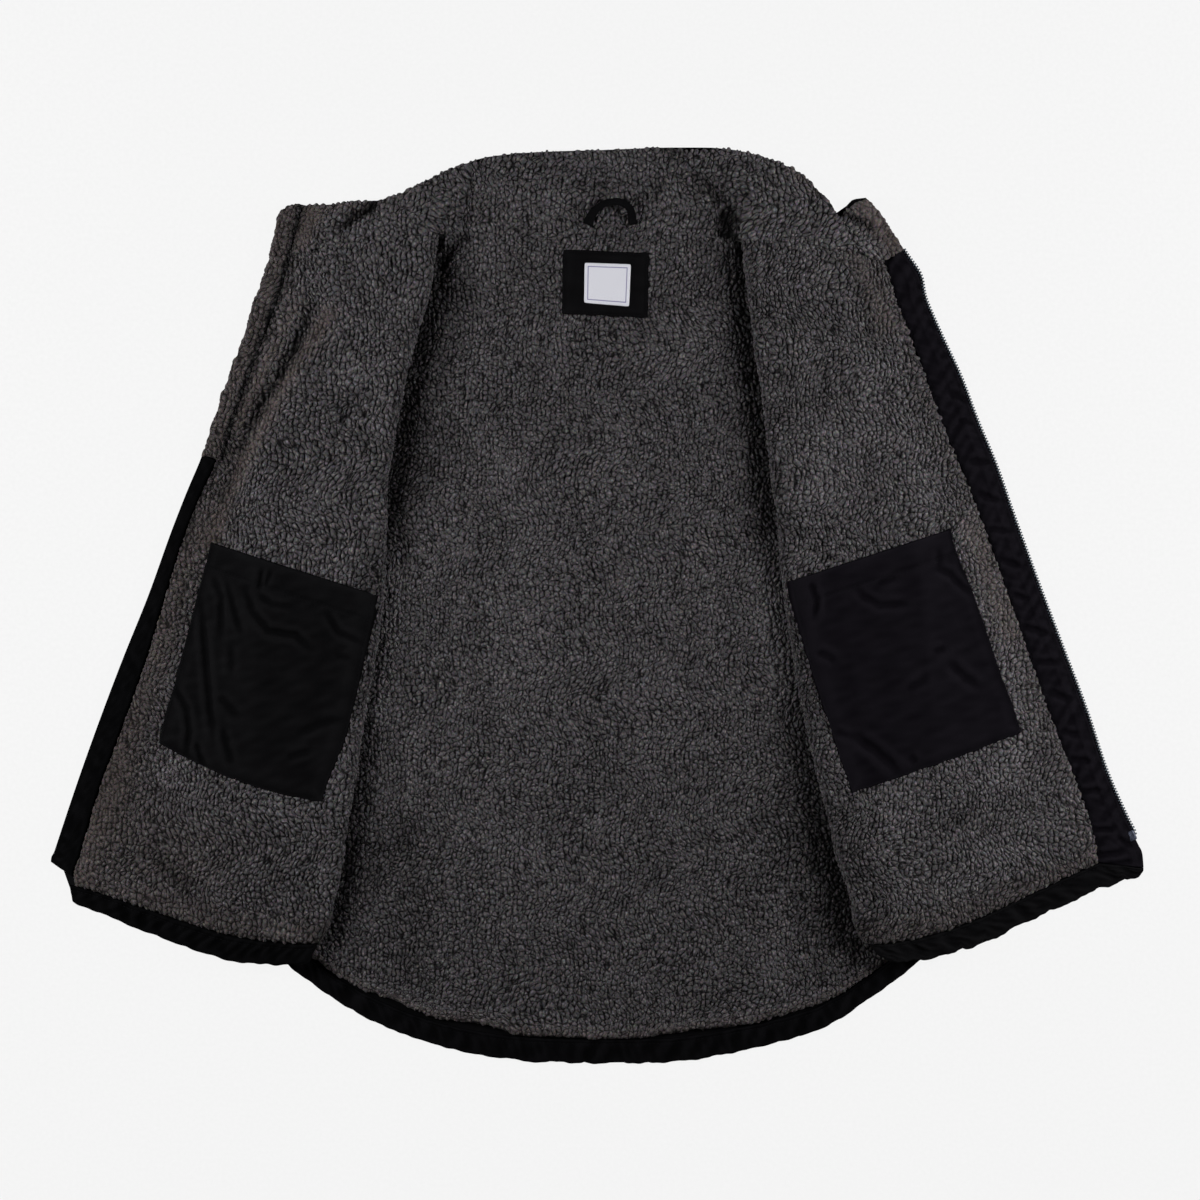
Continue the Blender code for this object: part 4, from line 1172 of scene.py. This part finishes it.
def frontHemBand(side):
    start, stop = rowPlace(side, liningEnd) + gap, rowPlace(side, hemRow)
    section = frontSection(side, spaced(start, stop, 1.0, 2, bandSteps))
    down = section["row"]["down"] - start
    at = section["shellEdge"] * np.linspace(0, 1, 241)[None, :]
    puckers = bandPuckers(at, down, fronts[side]["seed"] + 40, 0.4, 0.6)
    height = np.maximum(bandHeight(down, stop - start, 1.6, 1.25 * puckers, 0.3), 0.4)
    faces = rippled(side, section["row"], stop, onSection(section, at, height),
                    onSection(section, at, np.minimum(height - cloth["thin"], liningLow)))
    finish = deepBlackCotton if side == "right" else blackCotton
    laySheet("hem_band_cloth_" + side, faces, 2, {"clothPlace": spots(at, down)}, finish,
             "hem_band_front_" + side, flat=(0.30, 0.017), held="folded",
             rests_on=["cotton_front_" + side])
    stitches("hem_stitches_" + side, [faces[0][6, 3:-3]])


for side in ("right", "left"):
    frontShell(side)
    frontLining(side)
    frontHemBand(side)
    print("front laid:", side)


def pocket(side):
    start, stop = rowPlace(side, pocketTop), rowPlace(side, pocketBottom)
    places = spaced(start, stop, 1.5, 2)
    section = frontSection(side, places)
    shares = sharesOf(148.0, 1.5, 2)
    at = section["inner"] + (section["outer"] - section["inner"]) * shares[None, :]
    down = section["row"]["down"]
    fromMouth = down - start
    sides = np.minimum(at - section["inner"], section["outer"] - at)
    sewn = np.minimum(sides, stop - down)                     # the mouth isn't sewn
    x, y = plan(onSection(section, at, 8.0))
    puff = 0.9 + pockets["puff"] * smooth(sewn / 11) + 0.35 * waves(x, y, 34, 7)
    puff = puff + pockets["crease"][side] * creaseDepth(x, y, pockets[side])
    puff = puff + 0.25 * waves(0.5 * x + y, x - y, 16, 9) * smooth(sewn / 12)
    puff = puff + 0.5 * smooth(1 - fromMouth / pockets["hem"]) * smooth(sides / 14)
    puff = puff - 0.45 * bell(fromMouth - pockets["hem"], 1.1) * smooth(sides / 8)
    puff = puff - 0.35 * bell(sewn - 2.4, 0.7)                # drawn in along its stitches
    low = pockets["low"]
    height = low + rounded(np.minimum(sewn, fromMouth), 1.6, 0.35, 1.0) * np.clip(puff + 0.35, 0.5, 4.2)
    faces = onSection(section, at, height), onSection(section, at, low)
    for points in faces:
        points[..., 1] -= pocketSag(side, section, at) + 0.5 * waves(x, y, 13, 19) * smooth(1 - sewn / 5)
    # the wearer's left pocket takes the painted lit copy of the black cotton
    finish = litSideCotton if side == "left" else blackCotton
    laySheet("pocket_cloth_" + side, faces, 2, {"clothPlace": spots(at, down)}, finish,
             "pocket_" + side, flat=(0.146, 0.172), held="laid", rests_on=["pile_front_" + side])
    outer, inset = faces[0], 3
    hemAt = int(np.argmin(np.abs(places - start - pockets["hem"])))
    seam = np.concatenate((outer[:-inset, inset], outer[-inset, inset:-inset],
                           outer[:-inset, -1 - inset][::-1]))
    mouth = [outer[row, inset:-inset] for row in (hemAt, hemAt + 2)]
    stitches("pocket_stitches_" + side, (seam, *mouth))


for side in ("right", "left"):
    pocket(side)
print("pockets on")


# a flat strip along a front edge, from heights worked out at each place on it
def edgeStrip(name, row, distance, low, high, every, finish, node, **sheet):
    x, y = rowPlan(row, distance)
    faces = spots(x, y, high), spots(x, y, low)
    facts = {"clothPlace": spots(distance, row["down"])}
    laySheet(name, faces, every, facts, finish, node, **sheet)
    return faces[0]


facingCreases = (
    # width, depth, then the path
    (2.2, -1, 262, 262, 276, 256), (2.4, -1.1, 272, 232, 288, 224), (2.2, -0.9, 281, 203, 291, 206),
    (2.6, -1.1, 287, 176, 306, 166), (2.2, -0.9, 296, 152, 309, 148), (2.6, -1.2, 304, 118, 323, 116),
    (2.4, -1, 312, 92, 330, 84), (2.2, -0.9, 321, 62, 338, 60), (2.6, -1.1, 330, 38, 349, 30),
    (2.2, -0.9, 341, 8, 352, 4), (2.6, -1.2, 349, -18, 372, -26), (2.2, -1, 360, -48, 378, -48),
    (2.6, -1.1, 371, -72, 391, -80), (2.2, -1, 380, -104, 394, -108), (2.4, -1.2, 388, -128, 406, -130),
    (2.2, -1.1, 396, -155, 414, -153), (2, -1.4, 402, -186, 424, -186),
    (2.2, -1.2, 410, -207, 430, -205), (2.2, -1.2, 416, -216, 440, -212),
    (2, -0.9, 428, -192, 440, -200),
)


def facingLeft():
    start, stop = rowPlace("left", 0) - 2.0, rowPlace("left", liningEnd)
    row = frontAt("left", spaced(start, stop, 1.45, 2))
    first, last, down = row["lined"] + gap, row["shellEdge"], row["down"]
    wide = last - first
    across = wide * sharesOf(20.0, 0.95, 2, stripSteps)[None, :]
    distance = first + across
    low = zipLine["tapeLow"] + 0.9 * smooth((across - wide + 12) / 3.0)
    pull = waves(down + 0.75 * across, across * 0.30, 11, 51)
    dome = np.maximum(np.sin(pi * across / wide), 0)
    puff = 1.0 + 0.9 * dome + 0.9 * pull * np.sqrt(dome)
    puff = puff + 0.28 * waves(down - 0.55 * across, across * 0.40, 6, 52)
    puff = puff - 0.45 * bell(wide - across - 2.6, 0.7)
    puff = puff + 2.2 * creaseDepth(*rowPlan(row, distance), facingCreases)
    fromEnd = least(down - start, stop - down, wide - across)
    high = low + rounded(fromEnd, 1.4, 0.25, 1.0) * np.clip(puff + 0.2, 0.45, 3.2)
    # the facing takes the painted lit copy of the black cotton
    face = edgeStrip("facing_cloth", row, distance, low, high, 2, litSideCotton, "facing_left",
                     flat=(0.025, 0.56), held="laid", rests_on=["zip_tape_cloth_left"])
    stitches("facing_stitches", [face[3:-3, column] for column in (4, face.shape[1] - 6)])


def zipTape(side, begin, stop, long):
    row = frontAt(side, np.linspace(rowPlace(side, 0), stop, 200))
    shellEdge = row["shellEdge"]
    begin = row["lined"] + begin if side == "right" else shellEdge - zipLine["tapeWide"]
    shares = np.array((0, 0.15, 0.3, 0.45, 0.6, 0.72, 0.82, 0.9, 0.95, 0.98, 1.0))
    distance = begin + (shellEdge + zipLine["pastEdge"] - begin) * shares
    bead = 0.35 * smooth((distance - shellEdge + 0.4) / 0.4)
    edgeStrip("zip_tape_cloth_" + side, row, distance, zipLine["tapeLow"] - bead, tapeTop + bead, 1,
              tapeCloth, "zip_tape_" + side, flat=(0.010, long), held="laid",
              rests_on=["cotton_front_" + side])


# one tooth as rings of eight points along its length, from the tape to its head:
# how far out, half its width and half its thickness
toothRings = ((0.0, 0.50, 1.20), (0.8, 0.55, 1.20), (1.7, 0.52, 1.10), (2.2, 0.72, 0.95),
              (2.7, 0.72, 0.80), (3.0, 0.45, 0.50))


# which way a front's edge runs down and out, from points along it
def edgeWays(along, side):
    along = unit(along)
    return along, np.stack((-along[..., 1], along[..., 0]), -1) * (1 if side == "left" else -1)


def zipTeeth(side, begin, stop):
    row = frontAt(side, np.linspace(rowPlace(side, 0), stop, 1200))
    edge = np.concatenate(rowPlan(row, row["shellEdge"] + begin), axis=1)
    pitch, bevel = zipLine["pitch"], zipLine["bevel"]
    marks = np.arange(pitch / 2, travelled(edge)[-1] - 0.6, pitch)
    along, out = edgeWays(lineAt(edge, marks + 1) - lineAt(edge, marks - 1), side)
    eight = ((-1, -bevel), (-bevel, -1), (bevel, -1), (1, -bevel), (1, bevel), (bevel, 1), (-bevel, 1),
             (-1, bevel))
    tooth = np.array([(far, a * wide, b * thick) for far, wide, thick in toothRings for a, b in eight])
    flat = out[:, None] * tooth[:, :1] + along[:, None] * tooth[:, 1:2] + lineAt(edge, marks)[:, None]
    up = tooth[:, 2] + zipLine["tapeLow"] + zipLine["tape"] / 2
    piece = tubes("zip_teeth_" + side, spots(*plan(flat), up), len(toothRings), len(eight))
    piece.data.set_sharp_from_angle(angle=radians(50))
    dress(piece, toothMetal, "zip_chain_" + side)


zipEnds = {
    # name: side, row above, share to the next row, then each rounded lump: across, down and up
    # from the shell's edge, and its size; the slider is parked under the flap
    "zip_end_metal_left": ("left", flapEnd - 1, 0.0, "zip_end_left", (
        (-1.8, 13.2, 2.1, 6.6, 8.6, 4.2), (-3.4, 12.1, 4.2, 1.1, 4.4, 0.6),
        (-0.2, 12.1, 4.2, 1.1, 4.4, 0.6),
    )),
    "zip_slider_metal_right": ("right", flapEnd - 2, zipLine["rightEnd"], "zip_slider_right", (
        (5.1, 5.8, 0.5, 7.0, 11.0, 1.0), (5.1, 5.8, 2.7, 6.4, 10.4, 1.0), (5.1, 2.4, 1.6, 2.2, 3.6, 1.8),
        (5.1, 5.4, 3.3, 1.8, 6.0, 0.8), (5.1, 9.0, 3.55, 4.6, 9.0, 0.7),
    )),
    "zip_box_metal_right": ("right", flapEnd - 2, zipLine["rightEnd"], "zip_box_right", (
        (4.6, 15.0, 1.5, 6.0, 6.5, 3.0), (4.6, 15.0, 3.0, 3.4, 3.6, 0.4),
    )),
}


# a metal piece of the zip, as rounded lumps joined into one mesh
def zipEnd(name):
    side, above, share, node, lumps = zipEnds[name]
    place = rowPlace(side, above) * (1 - share) + rowPlace(side, above + 1) * share
    row = frontAt(side, [place, place + 1.0])
    edge = np.concatenate(rowPlan(row, row["shellEdge"]), axis=1)
    along, out = edgeWays(edge[1] - edge[0], side)
    around, rise = np.meshgrid(np.linspace(0, 2 * pi, 21)[:-1], np.linspace(-0.49, 0.49, 9) * pi)
    level = squarer(np.cos(rise), 0.4)
    shape = spots(squarer(np.cos(around), 0.4) * level, squarer(np.sin(around), 0.4) * level,
                  squarer(np.sin(rise), 0.4))
    points = []
    for across, down, up, wide, long, thick in lumps:
        part = shape * (wide / 2, long / 2, thick / 2) + (across, down, up + zipLine["metalLow"])
        flat = edge[0] + part[..., :1] * out + part[..., 1:2] * along
        points.append(spots(*plan(flat), part[..., 2]))
    dress(tubes(name, points, *shape.shape[:2]), zipMetal, node)


# the flap lies on the tape and climbs over the zip's teeth
def underFlap(row, distance, over):
    low = tapeTop + gap
    return low + (over - low) * smooth((distance - row["shellEdge"] + 1.0) / 2.4)


def flapPile():
    start, stop = -flap["long"], rowPlace("right", flapTurn)
    table = np.array(frontTables["right"], float)[:flapTurn + 1]
    above = table[0].copy()
    above[2:6] = flap["seam"] + flap["edge"]
    knots = np.concatenate(([start], frontKnots("right")[:flapTurn + 1]))
    row = withLengths(rowAt(knots, np.vstack((above, table)), spaced(start, stop, 1.1, 2)))
    edge, down, high = row["edge"], row["down"], flap["high"]
    begin = row["lined"] - coveredBy("right", down)
    distance = begin + (edge - begin) * sharesOf(18.0, 0.85, 2, bandSteps)[None, :]
    zipTop = zipLine["tapeLow"] + (zipLine["tape"] + zipLine["chainThick"]) / 2
    low, within = underFlap(row, distance, zipTop + gap), distance - begin
    fromEdge = least(edge - distance, down - start, stop - down)
    high = low + np.minimum(rounded(fromEdge, 4.2, 0.5, high), rounded(within, 6.0, 2.2, high))
    distance = distance + frayed(distance, down, edge - distance, 17)
    x, y = rowPlan(row, distance)
    for name, wide, gone in (("corner", 9, (down - start) / 9), ("foot", 6, (stop - down) / 5)):
        drawn = smooth(1 - (edge - distance) / wide) * smooth(1 - gone)
        x, y = x + flap[name][0] * drawn, y + flap[name][1] * drawn
    # the flap's pile gets painted shade all over and more along its seam
    facts = pileFacts(-distance, down, 15, 1.15, 0.7 + 0.3 * smooth(fromEdge / 4),
                      0.22 + 0.65 * bell(within, cloth["seamDark"]), 0.75 * smooth(within / 6))
    laySheet("pile_wind_flap", (spots(x, y, high), spots(x, y, low)), 2, facts, pileCloth,
             "wind_flap_upper", flat=(0.018, 0.215), held="laid", rests_on=["zip_tape_cloth_right"])


def flapCotton():
    start, stop = rowPlace("right", flapTurn) + gap, rowPlace("right", flapEnd)
    row = frontAt("right", spaced(start, stop, 1.35, 2))
    begin, edge, down = row["lined"] + 1.0, row["edge"], row["down"]
    shares = sharesOf(16.0, 0.85, 2, bandSteps)[None, :]
    distance = begin + (edge - begin) * shares
    across = distance - row["lined"]
    low = underFlap(row, distance, flap["clothOver"])
    fromEdge = least(across - 1.0, edge - distance, down - start, stop - down)
    pull = waves(down + 0.6 * across, across * 0.35, 15, 61) * 0.42
    pull = pull + 0.2 * waves(down - across, across, 8, 62)
    creases = ((2.0, -0.9, -448, -190, -436, -196), (2.0, -0.8, -450, -204, -440, -208))
    pull = pull + creaseDepth(*rowPlan(row, distance), creases)
    thick = 5.0 + 1.1 * np.sin(pi * shares) + pull * smooth(fromEdge / 5) - low
    high = low + rounded(fromEdge, 2.4, 0.5, 1.0) * np.clip(thick, 0.9, 4.5)
    edgeStrip("wind_flap_cloth", row, distance, low, high, 2, deepBlackCotton, "wind_flap_lower",
              flat=(0.017, 0.367), held="laid", rests_on=["zip_tape_cloth_right"])


facingLeft()
leftEnd = rowPlace("left", flapEnd - 1) + zipLine["leftFoot"]
zipTape("left", None, leftEnd, 0.53)
zipTape("right", 1.0, rowPlace("right", flapEnd), 0.54)
zipTeeth("left", zipLine["leftStart"], leftEnd)
rightEnd = rowPlace("right", flapEnd - 2), rowPlace("right", flapEnd - 1)
zipTeeth("right", zipLine["rightStart"], rightEnd[0] + (rightEnd[1] - rightEnd[0]) * zipLine["rightEnd"])
for name in zipEnds:
    zipEnd(name)
flapPile()
flapCotton()
print("edges and zip on")


# one face of the collar, from its seam up: its points, which way it faces, and how far
# each place is from the seam and from the collar's ends
def collarFace(first, step, bare=False):
    table, high = np.array(collar["stations"])[first:], collar["high"]
    knots = table[:, 0]
    seamX = spaced(knots[0], knots[-1], step, 4)
    seamY = neckY(seamX) + collar["offSeam"]
    topX, topY, *heights = (easeThrough(knots, column, seamX) for column in table[:, 1:].T)
    steps = sharesOf(high, step, 4)
    reach = steps[:, None]
    if bare:
        reach = reach * (1 - readTable(seamX, collar["bare"]) / high)
    bow = collar["endBow"] * 4 * reach * (1 - reach) * smooth((seamX - 228) / 20)
    x = seamX + (topX - seamX) * reach + bow
    y = seamY + (topY - seamY) * reach
    z = np.array([easeThrough(collar["steps"], column, steps) for column in np.transpose(heights)]).T
    face = spots(x, y, z)
    normal = unit(np.cross(np.gradient(face, axis=1), np.gradient(face, axis=0)))
    fromEnd = np.minimum(seamX - knots[0], knots[-1] - seamX)[None, :]
    return face, normal * np.sign(normal[..., 2:]), steps[:, None] * high, fromEnd


def collarLining():
    face, normal, up, fromEnd = collarFace(1, 1.15, True)
    x, y = plan(face)
    fromTop = collar["high"] - up
    fromFlap = np.where(x < 0, fromEnd - np.interp(y, (286, 326), (6.5, 4.0)), 99.0)
    fromEnd = np.minimum(fromEnd, fromFlap)
    fromEdge = least(up, fromTop, fromEnd)
    height = np.minimum(rounded(fromEdge + (fromFlap < 12) * 9, 4.0, liningEdge, liningTop),
                        rounded(fromFlap, 6.5, 4.2, liningTop))
    height = np.maximum(height, rounded(up, 1.8, 4.4, liningTop) * (fromEnd > 8) * (up < 20))
    crease = creaseDepth(x, y, collar["creases"])
    height = height + 0.6 * waves(x, y, 34, 41) * smooth(fromEdge / 9)
    height = height + crease * smooth(0.35 + fromEdge / 9)
    height = np.clip(height, liningEdge, liningTop + cloth["bulge"])
    outer, lower = face + normal * height[..., None], face + normal * liningLow
    outer[..., 1] += frayed(x, y, fromTop, 45)
    # painted shade in the creases and along the flap's seam, with the painted shade and painted light of
    # the tone strokes
    shade = np.maximum(-crease / 4.5, 0) + 0.75 * bell(fromFlap, cloth["seamDark"])
    shade = shade + strokes(x, y, collar["tones"])
    worn = strokes(x, y, collar["worn"]) + 0.5 * smooth(1.1 - fromEnd / 22)
    facts = pileFacts(x, -y, 4, 1.15, 0.9 + 0.3 * smooth(1 - fromTop / 5), shade, worn)
    laySheet("pile_collar", (outer, lower), 4, facts, pileCloth, "lining_collar",
             flat=(0.53, 0.066), held="laid", area=0.026, rests_on=["cotton_collar"])


def collarShell():
    face, normal, up, fromEnd = collarFace(0, 2.6)
    x, y = plan(face)
    fromEdge = least(up, collar["high"] - up, fromEnd)
    rise = lowRise(0.28 + 0.3 * waves(x, y, 36, 43), 0.8, fromEdge, 8)
    faces = face + normal * rise[..., None], face + normal * cloth["shell"]
    laySheet("cotton_collar", faces, 4, {"clothPlace": spots(x, y)}, blackCotton, "shell_collar",
             flat=(0.53, 0.066), held="laid", area=0.027)


collarShell()
collarLining()
print("collar on")


# a four-sided patch's points, and how far inside its edge each is; size is that of the
# rounding of its corners
def patchGrid(corners, step, size):
    corners = np.array(corners)
    wide, long = np.hypot(*(corners[1] - corners[0])), np.hypot(*(corners[3] - corners[0]))
    s, t = np.meshgrid(*(sharesOf(length, step, 2, stripSteps) for length in (wide, long)))
    flat = np.stack(((1 - s) * (1 - t), s * (1 - t), s * t, (1 - s) * t), -1) @ corners
    fromSide, fromTop = np.minimum(s, 1 - s) * wide, np.minimum(t, 1 - t) * long
    pull = size * 0.45 * np.exp(-(fromSide + fromTop) / size)[..., None]
    away = flat - np.mean(corners, axis=0)
    flat = flat - pull * away / np.linalg.norm(away, axis=-1)[..., None].clip(1.0)
    return *plan(flat), np.minimum(fromSide, fromTop)


def labelPatch():
    x, y, edge = patchGrid(patch["corners"], 1.2, patch["round"])
    puff = 0.9 + 0.7 * smooth(edge / 6) + 0.3 * waves(x, y, 18, 91) - 0.35 * bell(edge - 2.2, 0.6)
    x, y = (part + 0.55 * waves(x, y, 12, seed) * smooth(1 - edge / 5)
            for part, seed in ((x, 95), (y, 96)))
    low, inset = patch["low"], 4
    outer = spots(x, y, low + rounded(edge, 1.2, 0.3, 1.0) * puff)
    laySheet("label_patch_cloth", (outer, spots(x, y, low)), 2, {"clothPlace": spots(x, y)}, blackCotton,
             "label_patch", flat=(0.071, 0.053), held="laid", rests_on=["pile_back"])
    line = np.concatenate((outer[inset, inset:-inset], outer[inset:-inset, -1 - inset],
                           outer[-1 - inset, inset:-inset][::-1], outer[inset:-inset, inset][::-1]))
    stitches("patch_stitches", [line], 3.0)


def neckLabel():
    x, y, edge = patchGrid(patchLabel["corners"], 0.65, patchLabel["round"])
    low = patchLabel["low"]
    thick = 0.6 + 0.25 * waves(x, y, 20, 93) - 0.25 * bell(edge - 1.3, 0.5)
    faces = spots(x, y, low + rounded(edge, 0.6, 0.3, 1.0) * thick), spots(x, y, low)
    line = np.exp(-((edge - 3.0) / 0.38) ** 4)                # a plain woven border
    laySheet("neck_label_cloth", faces, 2, {"clothPlace": spots(x, y), "frameLine": line}, labelCloth,
             "neck_label", flat=(0.038, 0.035), held="laid", rests_on=["label_patch_cloth"])


loop = {
    "wide": ((0.0, 9.0), (0.22, 6.4), (0.45, 5.6), (0.7, 6.2), (1.0, 7.4)), "thick": 2.4, "lift": 8.0,
    "path": (   # x, y of the middle of the tape, from foot to foot
        (-8.6, 311.5), (-5.2, 319.0), (0.8, 325.2), (7.5, 328.6), (15.2, 329.6), (22.0, 327.8),
        (26.9, 322.0), (28.7, 311.5),
    ),
}


def hangerLoop():
    path = np.array(loop["path"])
    knots = travelled(path)
    along = np.linspace(0, knots[-1], 71)[:, None]
    midX, midY = (easeThrough(knots, path[:, axis], along) for axis in (0, 1))
    aheadX, aheadY = np.gradient(midX[:, 0])[:, None], np.gradient(midY[:, 0])[:, None]
    size = np.hypot(aheadX, aheadY)
    ring = np.linspace(0, 2 * pi, 25)[None, :-1]
    side = readTable(along / knots[-1], loop["wide"]) / 2 * squarer(np.cos(ring), 0.7)
    up = loop["thick"] / 2 * (1 + squarer(np.sin(ring), 0.7))
    turn = along / knots[-1] * pi
    base = liningTop - 0.4 + loop["lift"] * np.maximum(np.sin(turn), 0) ** 0.8
    wrinkle = 0.35 * waves(turn * 20 + side * 0.3, side + 0 * turn, 5, 97)
    z = base + up * (1 + 0.2 * wrinkle) + wrinkle * 0.4
    points = spots(midX - aheadY / size * side, midY + aheadX / size * side, z)
    facts = {"clothPlace": spots(along, side * 2).reshape(-1, 3)}
    piece = tubes("hanger_loop_cloth", points, *points.shape[:2], facts)
    dress(piece, blackCotton, "hanger_loop")


labelPatch()
neckLabel()
hangerLoop()
print("label and loop on")
